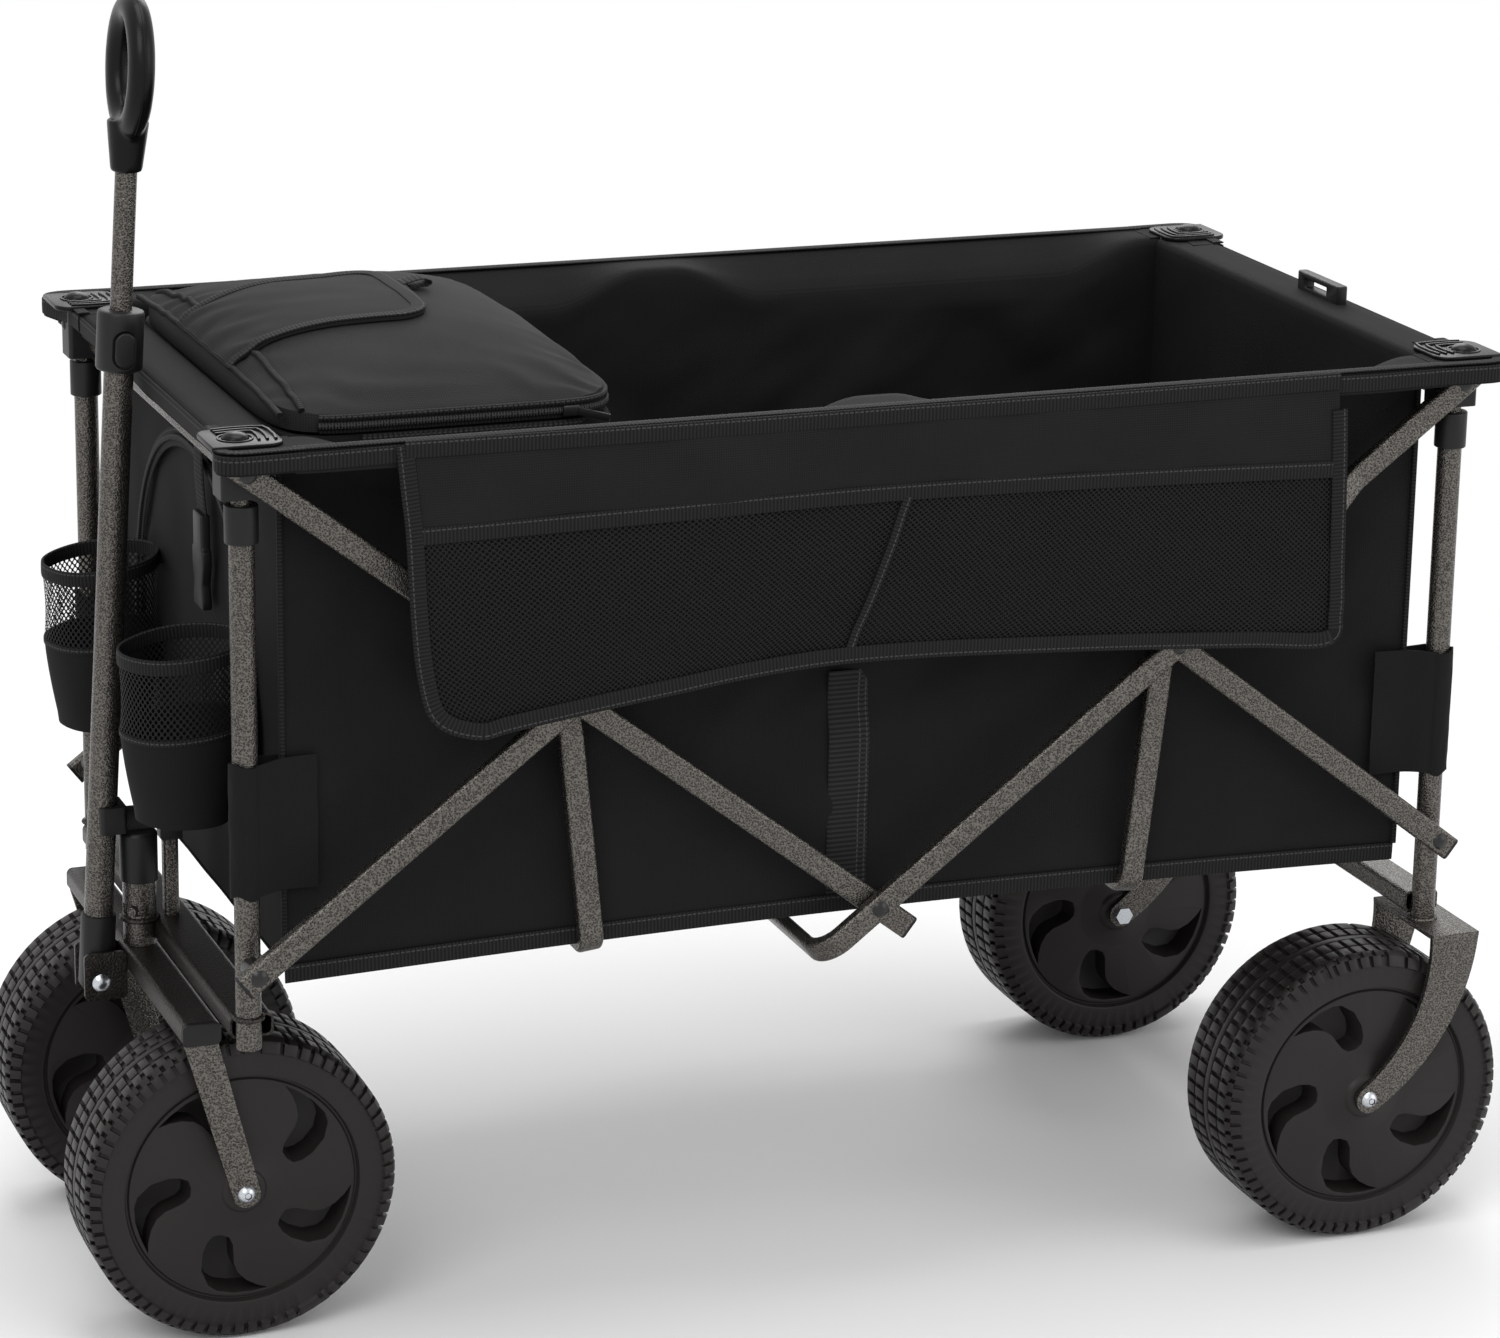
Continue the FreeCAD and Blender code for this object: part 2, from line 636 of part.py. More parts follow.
# ---- soft pieces ----
def end_wall(x, inwards):
    """Front or rear wall of the bag: panel, rim flange over the top tube and two leg sleeves."""
    leg_x = x - inwards * bag_inset
    x0, x1 = sorted((x, x + inwards * cloth))
    panel = block(x0, x1, -side_plane, side_plane, floor_z, rim_low_z - clear)
    panel = panel.makeFillet(bag_bend_r, [e for e in panel.Edges if e.BoundBox.ZMax < floor_z + 0.01 and
                                          e.BoundBox.YLength < 0.01])
    reach = side_y - cap_size / 2 - 1.0
    f0, f1 = sorted((leg_x - inwards * rim_flange, x + inwards * cloth))
    flange = block(f0, f1, -reach, reach, rim_low_z - clear - cloth, rim_low_z - clear)
    body = panel.fuse(flange)
    for side in (-1, 1):
        sleeve_at = (leg_x, side * side_y, sleeve_low_z)
        tall = sleeve_high_z - sleeve_low_z
        ring = rod(sleeve_at, Z, sleeve_r + sleeve_wall, tall)
        w0, w1 = sorted((side * (side_y - 14.0), side * (side_y - 14.0 + sleeve_wall)))
        t0, t1 = sorted((leg_x, x + inwards * sleeve_wall))
        web = block(t0, t1, w0, w1, sleeve_low_z, sleeve_high_z)
        link = block(leg_x - 4, leg_x + 4, *sorted((side * (side_y - 14.0), side * (side_y - sleeve_r))),
                     sleeve_low_z, sleeve_high_z)
        body = body.fuse(ring.fuse(web).fuse(link).cut(rod(sleeve_at, Z, sleeve_r, tall)))
    return body.removeSplitter()


def bag_body():
    """Both sides and the floor of the bag as one bent sheet, with the rim folded out over the bars."""
    x0, x1 = wall_front + cloth + clear, wall_rear - cloth - clear

    def trough(inset, top):
        shape = block(x0, x1, -side_plane + inset, side_plane - inset, floor_z + inset, top)
        low = [e for e in shape.Edges if e.BoundBox.ZMax < floor_z + inset + 0.01 and e.BoundBox.XLength > 1]
        return shape.makeFillet(bag_bend_r - inset, low)
    body = trough(0.0, rim_low_z).cut(trough(cloth, rim_low_z + 1))
    rim0, rim1 = front_x + cap_size / 2 + 1.0, rear_x - cap_size / 2 - 1.0
    rim = block(rim0, rim1, -rim_outer, -side_plane + cloth, rim_low_z, rim_low_z + cloth)
    fold = cloth - 1.0
    rim = rim.fuse(block(rim0, rim1, -rim_outer, -rim_outer + fold, rim_low_z - flap_drop, rim_low_z + cloth))
    return body.fuse(rim).fuse(mirrored(rim)).removeSplitter()


def base_board():
    """A stiff floor board in four panels."""
    low = floor_z + cloth + clear
    start, end = wall_front + cloth + 1.5, wall_rear - cloth - 1.5
    count, gap = 4, 0.6
    width = (end - start - gap * (count - 1)) / count
    half_width = side_plane - cloth - 2.0
    panels = []
    for number in range(count):
        x0 = start + number * (width + gap)
        panels.append(block(x0, x0 + width, -half_width, half_width, low, low + board_thick))
    return Part.makeCompound(panels)


def cooler_box():
    x0, x1 = lid_x, lid_x + cooler_depth
    body = rounded(block(x0, x1, -cooler_half, cooler_half, cooler_low_z, cooler_high_z), 12.0, Z)
    inner = block(x0 + cooler_wall, x1 - cooler_wall, -cooler_half + cooler_wall, cooler_half - cooler_wall,
                  cooler_low_z + cooler_wall, cooler_high_z + 1)
    return body.cut(rounded(inner, 8.0, Z))


def pillow():
    """The lid's domed form: a barrel across the wagon crossed with one along it."""
    half_width, half_depth = cooler_half, cooler_depth / 2
    across = (half_width ** 2 + lid_rise ** 2) / (2 * lid_rise)
    along = (half_depth ** 2 + lid_rise ** 2) / (2 * lid_rise)
    crown = lid_z + lid_edge + lid_rise
    middle = lid_x + half_depth
    barrel = rod((middle - 300, 0, crown - across), X, across, 600)
    return barrel.common(rod((middle, -300, crown - along), Y, along, 600))


def lid_port():
    """The mouth in the lid under its access flap."""
    x0 = lid_x + port_margin
    port = block(x0, lid_x + flap_depth - port_margin, -flap_half + port_margin, flap_half - port_margin,
                 lid_z - 1, lid_z + lid_edge + lid_rise + 10)
    return rounded(port, 14.0, Z)


def cooler_lid():
    x0, x1 = lid_x, lid_x + cooler_depth
    edge = block(x0, x1, -cooler_half, cooler_half, lid_z, lid_z + lid_edge)
    above = block(x0, x1, -cooler_half, cooler_half, lid_z + lid_edge, lid_z + lid_edge + lid_rise + 5)
    return edge.fuse(above.common(pillow())).cut(lid_port())


def lid_flap():
    """A bound fabric flap that closes the port, bent to the lid's front to back curve."""
    half_depth = cooler_depth / 2
    radius = (half_depth ** 2 + lid_rise ** 2) / (2 * lid_rise)
    centre = (lid_x + half_depth, -flap_half, lid_z + lid_edge + lid_rise - radius)
    curve = pipe(centre, Y, radius + clear + flap_thick, radius + clear, 2 * flap_half)
    outline = block(lid_x + 1.0, lid_x + flap_depth, -flap_half, flap_half, lid_z + lid_edge, lid_z + 90)
    corners = [e for e in outline.Edges if e.BoundBox.ZLength > 20 and e.BoundBox.XMin > lid_x + 10]
    return outline.makeFillet(flap_corner_r, corners).common(curve)


def cup_holder():
    """A round soft cup on the front wall, near side."""
    x = wall_front - cup_r - clear
    outside = Part.makeCone(cup_base_r, cup_r, cup_high_z - cup_low_z, V(x, -cup_y, cup_low_z), Z)
    inside = Part.makeCone(cup_base_r - cup_wall, cup_r - cup_wall, cup_high_z - cup_low_z - 3,
                           V(x, -cup_y, cup_low_z + 3), Z)
    return outside.cut(inside)


def near_pocket():
    """The hanging pocket: a back sheet and a mesh front, joined at three edges and open at the top."""
    x0, x1 = front_x + pocket_front, rear_x - pocket_rear
    high = rim_low_z + cloth
    outer = pocket_inner + pocket_thick
    body = block(x0, x1, -outer, -pocket_inner, pocket_low_z, high)
    sheet, seam, mouth_z = 1.0, 10.0, wheel_top_z + 347.0
    mouth = block(x0 + seam, x1 - seam, -outer + sheet, -pocket_inner - sheet, pocket_low_z + seam, mouth_z)
    opening = block(x0 + seam, x1 - seam, -outer - 1, -pocket_inner - sheet, mouth_z - 6.0, mouth_z)
    return body.cut(mouth).cut(opening)


def rim_latch():
    """A small buckle standing on the outer rear rim."""
    low = rim_low_z + clear
    body = rounded(block(rear_x - 6, rear_x + 2, -48, 14, low, low + 14), 3.0, Z)
    slot = block(rear_x - 7, rear_x + 3, -30, 2, low + 4, low + 10)
    return body.cut(slot)


# ---- groups ----
def scissor_rivets():
    """Every rivet of the near side, keyed by the piece that carries it."""
    leg_inner = side_y - leg_r
    bars_outer = outer_y + bar_thick
    spacer = pipe((front_x, -(side_y + leg_r), pivot_low_z), -Y, 7.0, rivet_r, outer_y - side_y - leg_r)
    low_front = rivet(front_x, pivot_low_z, leg_inner, bars_outer).fuse(spacer)
    crossing = support_mid - bar_thick / 2
    return {
        "front_rising": [low_front, rivet(cross_front_x, cross_z, crossing, bars_outer),
                         rivet(mid_x, pivot_high_z, inner_y, bars_outer)],
        "rear_falling": [rivet(cross_rear_x, cross_z, crossing, bars_outer),
                         rivet(rear_x, pivot_low_z, leg_inner, inner_y + bar_thick)],
        "rear_rising": [rivet(mid_x, pivot_low_z, inner_y, bars_outer),
                        rivet(rear_x, pivot_high_z, side_y + post_r + 1.0, inner_y + bar_thick, 0)],
        "front_head": [rivet(front_x, pivot_high_z, side_y + post_r + 1.0, inner_y + bar_thick, 0)],
    }


def both_sides(shapes):
    return Part.makeCompound(shapes + [mirrored(s) for s in shapes])


def front_bolts():
    span = wheel_hub_width + 2.0 + 2 * arm_thick
    return Part.makeCompound([handle_bolt()] + pair(axle(front_axle_x, -front_wheel_y, span)).childShapes())


def steering_beam():
    z = beam_low_z + beam_height / 2
    start, end = V(kingpin_x, -beam_half, z), V(kingpin_x, beam_half, z)
    return straight_tube(start, end, Z, beam_depth, beam_height, tube_wall)


def beam_end_cap():
    z = beam_low_z + beam_height / 2
    at = V(kingpin_x, -beam_half, z)
    outside = Part.Face(flat_section(at, X, Z, beam_depth, beam_height)).extrude(Y * -beam_cap)
    inner_depth = beam_depth - 2 * tube_wall - 2 * snug
    inner_height = beam_height - 2 * tube_wall - 2 * snug
    return outside.fuse(Part.Face(flat_section(at, X, Z, inner_depth, inner_height)).extrude(Y * 8.0))


def front_arms():
    reach = wheel_hub_width / 2 + 1.0
    arms = [front_arm(-front_wheel_y - reach - arm_thick), front_arm(-front_wheel_y + reach)]
    return both_sides(arms)


def front_cross_tube():
    ahead = kingpin_ahead - kingpin_r + 3.0
    tube = cross_tube(front_x, cross_low_z, ahead, cross_depth - ahead + 3.0, front_x)
    return tube.cut(rod((kingpin_x, 0, cross_low_z - 5), Z, kingpin_r, cross_height + 10))


def keeper_post():
    top = kingpin_cap_top_z + 1.0
    return straight_tube(V(front_x + 2, 0, cross_high_z), V(front_x + 2, 0, top), X, 10.0, 10.0, tube_wall)


def kingpin_cap():
    cap = rod((kingpin_x, 0, kingpin_top_z - 6.0), Z, kingpin_cap_r, kingpin_cap_top_z - kingpin_top_z + 6.0)
    cap = cap.makeFillet(3.0, [e for e in cap.Edges if e.BoundBox.ZMin > kingpin_cap_top_z - 0.01])
    return cap.cut(rod((kingpin_x, 0, kingpin_top_z - 6.0), Z, kingpin_r + snug, 6.0 + snug))


def make_nodes():
    rivets = scissor_rivets()
    falling = -bar_angle
    head_tail = bar_length + bar_end
    fork_span = wheel_hub_width + 2.0 + 2 * arm_thick
    holes = (0, bar_length / 2, bar_length)
    nodes = {
        "front_legs": pair(leg(front_x, front_leg_bottom_z)),
        "front_leg_collars": pair(leg_collar(front_x)),
        "front_cross_tube": front_cross_tube(),
        "kingpin_tube": kingpin_tube(),
        "kingpin_cap": kingpin_cap(),
        "keeper_post": keeper_post(),
        "handle_keeper": handle_keeper(),
        "steering_beam": steering_beam(),
        "beam_end_caps": pair(beam_end_cap()),
        "front_wheel_arms": front_arms(),
        "kingpin_shaft": kingpin_shaft(),
        "handle_ears": pair(handle_ear()),
        "front_bolts": front_bolts(),
        "front_wheel_near": wheel(front_axle_x, -front_wheel_y),
        "front_wheel_far": wheel(front_axle_x, front_wheel_y),
        "handle_socket": handle_socket(),
        "handle_lower_tube": on_handle(
            pipe((0, 0, 14.0), Z, handle_r, handle_r - handle_wall, handle_top - 14.0)),
        "handle_collar": clamp_collar(),
        "collar_button": collar_button(),
        "handle_upper_tube": inner_handle(),
        "handle_grip": grip(),
        "front_rising_bars": pair(bar(front_x, pivot_low_z, bar_angle, outer_mid, bar_end, holes)),
        "front_rising_plugs": pair(bar_plug(-bar_end, front_x, pivot_low_z, bar_angle, outer_mid, -1)),
        "front_rising_rivets": both_sides(rivets["front_rising"]),
        "front_falling_bars": pair(bar(front_x, pivot_high_z, falling, inner_mid, falling_bar_tail, holes)),
        "front_falling_plugs": both_sides([
            bar_plug(-bar_end, front_x, pivot_high_z, falling, inner_mid, -1),
            bar_plug(bar_length + falling_bar_tail, front_x, pivot_high_z, falling, inner_mid, 1)]),
        "rear_falling_bars": pair(bar(mid_x, pivot_high_z, falling, inner_mid, bar_end, holes)),
        "rear_falling_plugs": pair(bar_plug(head_tail, mid_x, pivot_high_z, falling, inner_mid, 1)),
        "rear_falling_rivets": both_sides(rivets["rear_falling"]),
        "rear_rising_frame": rear_rising_frame(),
        "rear_rising_plugs": pair(bar_plug(head_tail, mid_x, pivot_low_z, bar_angle, inner_mid, 1)),
        "rear_rising_rivets": both_sides(rivets["rear_rising"]),
        "front_floor_support": floor_support(cross_front_x, support_lean),
        "rear_floor_support": floor_support(cross_rear_x, -support_lean),
        "front_heads": pair(head(front_x)),
        "front_inner_posts": pair(inner_post(front_x)),
        "front_top_tube": top_tube(front_x + 5.0),
        "front_corner_caps": pair(corner_cap(front_x, 1)),
        "front_head_rivets": both_sides(rivets["front_head"]),
        "bag_front_wall": end_wall(wall_front, 1),
        "cup_holders": pair(cup_holder()),
        "cooler_box": cooler_box(),
        "cooler_lid": cooler_lid(),
        "lid_flap": lid_flap(),
        "rear_heads": pair(head(rear_x)),
        "rear_inner_posts": pair(inner_post(rear_x)),
        "rear_top_tube": top_tube(rear_x - 5.0),
        "rear_corner_caps": pair(corner_cap(rear_x, -1)),
        "bag_rear_wall": end_wall(wall_rear, -1),
        "rim_latch": rim_latch(),
        "rear_legs": pair(leg(rear_x, fork_top_z)),
        "rear_leg_collars": pair(leg_collar(rear_x)),
        "rear_cross_tube": cross_tube(rear_x, fork_top_z + 3.0, 12.0, 13.0, rear_x),
        "rear_forks": pair(rear_fork()),
        "rear_bolts": pair(axle(rear_axle_x, -rear_wheel_y, fork_span)),
        "rear_wheel_near": wheel(rear_axle_x, -rear_wheel_y),
        "rear_wheel_far": wheel(rear_axle_x, rear_wheel_y),
        "bag_body": bag_body(),
        "base_board": base_board(),
        "near_pocket": near_pocket(),
    }
    return nodes


os.makedirs("parts", exist_ok=True)
for name, shape in make_nodes().items():
    shape.exportStep("parts/" + name + ".step")
    print(name, len(shape.Solids), round(shape.Volume / 1000, 2), shape.isValid())
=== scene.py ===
import json
import math
import bmesh
import bpy
from mathutils import Matrix, Quaternion, Vector, noise


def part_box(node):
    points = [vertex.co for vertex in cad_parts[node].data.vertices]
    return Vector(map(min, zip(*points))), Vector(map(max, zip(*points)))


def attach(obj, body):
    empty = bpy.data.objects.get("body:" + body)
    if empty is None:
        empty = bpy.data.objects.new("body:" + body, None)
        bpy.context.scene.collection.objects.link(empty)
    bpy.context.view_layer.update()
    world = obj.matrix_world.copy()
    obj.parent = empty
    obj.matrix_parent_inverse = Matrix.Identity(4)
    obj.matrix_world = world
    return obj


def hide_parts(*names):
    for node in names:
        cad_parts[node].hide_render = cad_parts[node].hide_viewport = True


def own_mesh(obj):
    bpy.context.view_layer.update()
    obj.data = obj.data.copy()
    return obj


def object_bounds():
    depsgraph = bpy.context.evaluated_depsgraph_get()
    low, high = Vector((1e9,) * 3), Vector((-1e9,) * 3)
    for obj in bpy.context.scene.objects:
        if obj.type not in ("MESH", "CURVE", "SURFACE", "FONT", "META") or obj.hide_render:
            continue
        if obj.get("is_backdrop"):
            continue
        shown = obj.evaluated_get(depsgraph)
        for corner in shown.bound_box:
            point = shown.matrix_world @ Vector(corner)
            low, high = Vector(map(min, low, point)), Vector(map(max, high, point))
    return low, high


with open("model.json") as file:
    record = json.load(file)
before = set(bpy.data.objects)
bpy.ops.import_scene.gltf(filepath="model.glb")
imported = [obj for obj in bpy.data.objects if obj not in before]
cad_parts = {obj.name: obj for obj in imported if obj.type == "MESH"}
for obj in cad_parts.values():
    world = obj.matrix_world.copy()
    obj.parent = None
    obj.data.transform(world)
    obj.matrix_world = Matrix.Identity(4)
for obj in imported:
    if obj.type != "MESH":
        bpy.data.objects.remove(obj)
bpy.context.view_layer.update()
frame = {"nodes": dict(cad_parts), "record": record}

nodes = frame["nodes"]
record = frame["record"]
mm = 0.001


def hexLinear(code):
    # one sRGB hex value as a linear colour
    parts = [int(code[i:i + 2], 16) / 255 for i in (1, 3, 5)]
    return [c / 12.92 if c <= 0.04045 else ((c + 0.055) / 1.055) ** 2.4 for c in parts] + [1.0]


def addNode(tree, kind, settings=None, links=None, values=None, stops=()):
    node = tree.nodes.new(kind)
    for key, value in (settings or {}).items():
        setattr(node, key, value)
    for key, value in (values or {}).items():
        node.inputs[key].default_value = value
    for key, source in (links or {}).items():
        tree.links.new(source, node.inputs[key])
    for number, (place, code) in enumerate(stops):
        if number == len(node.color_ramp.elements):
            node.color_ramp.elements.new(place)
        node.color_ramp.elements[number].position = place
        node.color_ramp.elements[number].color = hexLinear(code)
    return node


def newMaterial(name, colour, roughness, metallic=0.0, specular=0.5):
    material = bpy.data.materials.new(name)
    material.use_nodes = True
    tree = material.node_tree
    tree.nodes.clear()
    shader = addNode(tree, "ShaderNodeBsdfPrincipled", values={
        "Base Color": hexLinear(colour), "Roughness": roughness, "Metallic": metallic,
        "Specular IOR Level": specular})
    output = addNode(tree, "ShaderNodeOutputMaterial", links={"Surface": shader.outputs[0]})
    place = addNode(tree, "ShaderNodeTexCoord")
    return material, tree, shader, output, place


def hammertoneSteel(name, dark, middle, bright, roughness, flakeSize):
    # hammertone powder coat: leafing metal flake in a dark binder, so small dimples with bright rims
    material, tree, shader, output, place = newMaterial(name, middle, roughness, metallic=0.8)
    cellSpace = addNode(tree, "ShaderNodeMapping", links={"Vector": place.outputs["Object"]},
                        values={"Scale": (1 / flakeSize,) * 3})
    cells = addNode(tree, "ShaderNodeTexVoronoi", {"feature": "SMOOTH_F1"}, {"Vector": cellSpace.outputs[0]},
                    {"Scale": 1.0, "Smoothness": 0.6})
    flake = addNode(tree, "ShaderNodeTexNoise", None, {"Vector": cellSpace.outputs[0]},
                    {"Scale": 2.1, "Detail": 2.0})
    mixed = addNode(tree, "ShaderNodeMath", {"operation": "MULTIPLY_ADD"},
                    {0: flake.outputs["Fac"], 2: cells.outputs["Distance"]}, {1: 0.6})
    tint = addNode(tree, "ShaderNodeValToRGB", None, {"Fac": mixed.outputs[0]}, None,
                   ((0.3, dark), (0.6, middle), (0.95, bright)))
    tree.links.new(tint.outputs[0], shader.inputs["Base Color"])
    bump = addNode(tree, "ShaderNodeBump", None, {"Height": mixed.outputs[0]},
                   {"Strength": 0.75, "Distance": 0.5 * mm})
    tree.links.new(bump.outputs[0], shader.inputs["Normal"])
    return material


def mouldedPlastic(name, colour, roughness, grain, specular):
    # moulded polypropylene or ABS: fine spark-eroded grain that only softens the highlights
    material, tree, shader, output, place = newMaterial(name, colour, roughness, specular=specular)
    speck = addNode(tree, "ShaderNodeTexNoise", None, {"Vector": place.outputs["Object"]},
                    {"Scale": 1 / grain, "Detail": 3.0})
    cloud = addNode(tree, "ShaderNodeTexNoise", None, {"Vector": place.outputs["Object"]},
                    {"Scale": 1 / (45 * mm), "Detail": 4.0})
    spread = addNode(tree, "ShaderNodeMapRange", None, {"Value": cloud.outputs["Fac"]},
                     {"To Min": roughness - 0.05, "To Max": roughness + 0.07})
    tree.links.new(spread.outputs[0], shader.inputs["Roughness"])
    bump = addNode(tree, "ShaderNodeBump", None, {"Height": speck.outputs["Fac"]},
                   {"Strength": 0.4, "Distance": 0.06 * mm})
    tree.links.new(bump.outputs[0], shader.inputs["Normal"])
    return material


def zincPlate():
    # bright zinc plate: pale metal with a faint blue cast and soft handling marks
    material, tree, shader, output, place = newMaterial("zinc_plated_steel", "#c3c7cc", 0.27, metallic=1.0)
    marks = addNode(tree, "ShaderNodeTexNoise", None, {"Vector": place.outputs["Object"]},
                    {"Scale": 1 / (3 * mm), "Detail": 4.0})
    spread = addNode(tree, "ShaderNodeMapRange", None, {"Value": marks.outputs["Fac"]},
                     {"To Min": 0.18, "To Max": 0.4})
    tree.links.new(spread.outputs[0], shader.inputs["Roughness"])
    return material


def wovenPolyester(name, colour, light, thread=1.5 * mm):
    # 600 denier polyester: a plain weave of 0.5 mm threads, drawn three times as coarse to show
    material, tree, shader, output, place = newMaterial(name, colour, 0.82, specular=0.14)
    threadSpace = addNode(tree, "ShaderNodeMapping", links={"Vector": place.outputs["UV"]},
                          values={"Scale": (1 / thread,) * 3})
    warp = addNode(tree, "ShaderNodeTexWave", {"bands_direction": "X"}, {"Vector": threadSpace.outputs[0]},
                   {"Scale": 0.314, "Distortion": 0.35})
    weft = addNode(tree, "ShaderNodeTexWave", {"bands_direction": "Y"}, {"Vector": threadSpace.outputs[0]},
                   {"Scale": 0.314, "Distortion": 0.35})
    woven = addNode(tree, "ShaderNodeMath", {"operation": "MULTIPLY"},
                    {0: warp.outputs["Fac"], 1: weft.outputs["Fac"]})
    cloud = addNode(tree, "ShaderNodeTexNoise", None, {"Vector": place.outputs["Object"]},
                    {"Scale": 1 / (60 * mm), "Detail": 5.0})
    mixed = addNode(tree, "ShaderNodeMath", {"operation": "MULTIPLY_ADD"},
                    {0: cloud.outputs["Fac"], 2: woven.outputs[0]}, {1: 0.8})
    tint = addNode(tree, "ShaderNodeValToRGB", None, {"Fac": mixed.outputs[0]}, None,
                   ((0.2, colour), (1.0, light)))
    tree.links.new(tint.outputs[0], shader.inputs["Base Color"])
    bump = addNode(tree, "ShaderNodeBump", None, {"Height": woven.outputs[0]},
                   {"Strength": 0.45, "Distance": 0.12 * mm})
    tree.links.new(bump.outputs[0], shader.inputs["Normal"])
    return material


def ribbedTape(name, colour, light, rib, wide):
    # grosgrain or webbing: a cross rib drawn coarse enough to show, and a row of lockstitch by each edge
    material, tree, shader, output, place = newMaterial(name, colour, 0.75, specular=0.16)
    ribSpace = addNode(tree, "ShaderNodeMapping", links={"Vector": place.outputs["UV"]},
                       values={"Scale": (1 / rib,) * 3})
    ribs = addNode(tree, "ShaderNodeTexWave", {"bands_direction": "X"}, {"Vector": ribSpace.outputs[0]},
                   {"Scale": 0.314})
    tint = addNode(tree, "ShaderNodeValToRGB", None, {"Fac": ribs.outputs["Fac"]}, None,
                   ((0.2, colour), (0.9, light)))
    sides = addNode(tree, "ShaderNodeSeparateXYZ", links={"Vector": place.outputs["UV"]})
    edge = addNode(tree, "ShaderNodeMath", {"operation": "PINGPONG"}, {0: sides.outputs["Y"]}, {1: wide})
    row = addNode(tree, "ShaderNodeMath", {"operation": "COMPARE"}, {0: edge.outputs[0]},
                  {1: 2.4 * mm, 2: 0.42 * mm})
    pace = addNode(tree, "ShaderNodeMath", {"operation": "MODULO"}, {0: sides.outputs["X"]}, {1: 3.4 * mm})
    dash = addNode(tree, "ShaderNodeMath", {"operation": "LESS_THAN"}, {0: pace.outputs[0]}, {1: 2.3 * mm})
    stitch = addNode(tree, "ShaderNodeMath", {"operation": "MULTIPLY"}, {0: row.outputs[0], 1: dash.outputs[0]})
    thread = addNode(tree, "ShaderNodeMix", {"data_type": "RGBA"},
                     {"Factor": stitch.outputs[0], "A": tint.outputs[0]}, {"B": hexLinear("#3d3d3d")})
    # the colour sockets of a mix node come after its number and vector ones
    for socket in thread.inputs:
        if socket.type == "RGBA" and socket.name == "A":
            tree.links.new(tint.outputs[0], socket)
        if socket.type == "RGBA" and socket.name == "B":
            socket.default_value = hexLinear("#3d3d3d")
    tree.links.new([s for s in thread.outputs if s.type == "RGBA"][0], shader.inputs["Base Color"])
    height = addNode(tree, "ShaderNodeMath", {"operation": "ADD"}, {0: ribs.outputs["Fac"], 1: stitch.outputs[0]})
    bump = addNode(tree, "ShaderNodeBump", None, {"Height": height.outputs[0]},
                   {"Strength": 0.6, "Distance": 0.3 * mm})
    tree.links.new(bump.outputs[0], shader.inputs["Normal"])
    return material


def openMesh(name, hole, colour="#0e0e0e"):
    # warp-knitted mesh: rounded diamond holes in a close net of yarn
    material, tree, shader, output, place = newMaterial(name, colour, 0.7, specular=0.2)
    holeSpace = addNode(tree, "ShaderNodeMapping", links={"Vector": place.outputs["UV"]},
                        values={"Scale": (math.pi / (hole * 1.25), math.pi / hole, 1),
                                "Rotation": (0, 0, math.pi / 4)})
    sides = addNode(tree, "ShaderNodeSeparateXYZ", links={"Vector": holeSpace.outputs[0]})
    across = addNode(tree, "ShaderNodeMath", {"operation": "COSINE"}, {0: sides.outputs["X"]})
    down = addNode(tree, "ShaderNodeMath", {"operation": "COSINE"}, {0: sides.outputs["Y"]})
    cell = addNode(tree, "ShaderNodeMath", {"operation": "MULTIPLY"}, {0: across.outputs[0], 1: down.outputs[0]})
    size = addNode(tree, "ShaderNodeMath", {"operation": "ABSOLUTE"}, {0: cell.outputs[0]})
    yarn = addNode(tree, "ShaderNodeMath", {"operation": "LESS_THAN"}, {0: size.outputs[0]}, {1: 0.4})
    clear = addNode(tree, "ShaderNodeBsdfTransparent")
    mixed = addNode(tree, "ShaderNodeMixShader",
                    links={0: yarn.outputs[0], 1: clear.outputs[0], 2: shader.outputs[0]})
    tree.links.new(mixed.outputs[0], output.inputs["Surface"])
    bump = addNode(tree, "ShaderNodeBump", None, {"Height": size.outputs[0]},
                   {"Strength": 0.6, "Distance": 0.4 * mm})
    tree.links.new(bump.outputs[0], shader.inputs["Normal"])
    return material


steel = hammertoneSteel("hammertone_powder_coat", "#1c1b1a", "#373533", "#68645f", 0.27, 1.2 * mm)
# a darker, rougher copy of the hammertone, used for the steering beam, the front cross tube, the handle lugs and the
# front weld beads
beamSteel = hammertoneSteel("darker_hammertone_coat", "#131211", "#242221", "#3d3936", 0.38, 1.4 * mm)
satinPlastic = mouldedPlastic("satin_polypropylene", "#151516", 0.42, 0.9 * mm, 0.26)
glossPlastic = mouldedPlastic("polished_abs", "#0b0b0c", 0.28, 1.4 * mm, 0.16)
wheelPlastic = mouldedPlastic("blow_moulded_polyethylene", "#201d1c", 0.43, 1.2 * mm, 0.24)
# black paint for the rivets and head screws; the same material also paints shade into the hexagon sockets of the zinc
# bolt heads
rivetPaintAndSocketShade = mouldedPlastic("black_rivet_paint_and_socket_shade", "#101010", 0.28, 0.8 * mm, 0.4)
zinc = zincPlate()
bagCloth = wovenPolyester("woven_polyester", "#0d0d0d", "#191919")
bandCloth = wovenPolyester("pocket_polyester", "#111111", "#1e1e1e")
lidCloth = wovenPolyester("padded_polyester", "#191919", "#282828")
tapeCloth = ribbedTape("grosgrain_tape", "#0d0d0d", "#1e1e1e", 2.4 * mm, 11.6 * mm)
webbing = ribbedTape("webbing", "#121212", "#262626", 3.2 * mm, 26 * mm)
zipCoil = ribbedTape("nylon_zip_coil", "#0c0c0c", "#3a3a3a", 1.9 * mm, 26 * mm)
pocketMesh = openMesh("pocket_mesh", 2.3 * mm)
cupMesh = openMesh("cup_mesh", 2.8 * mm)
print("finishes")

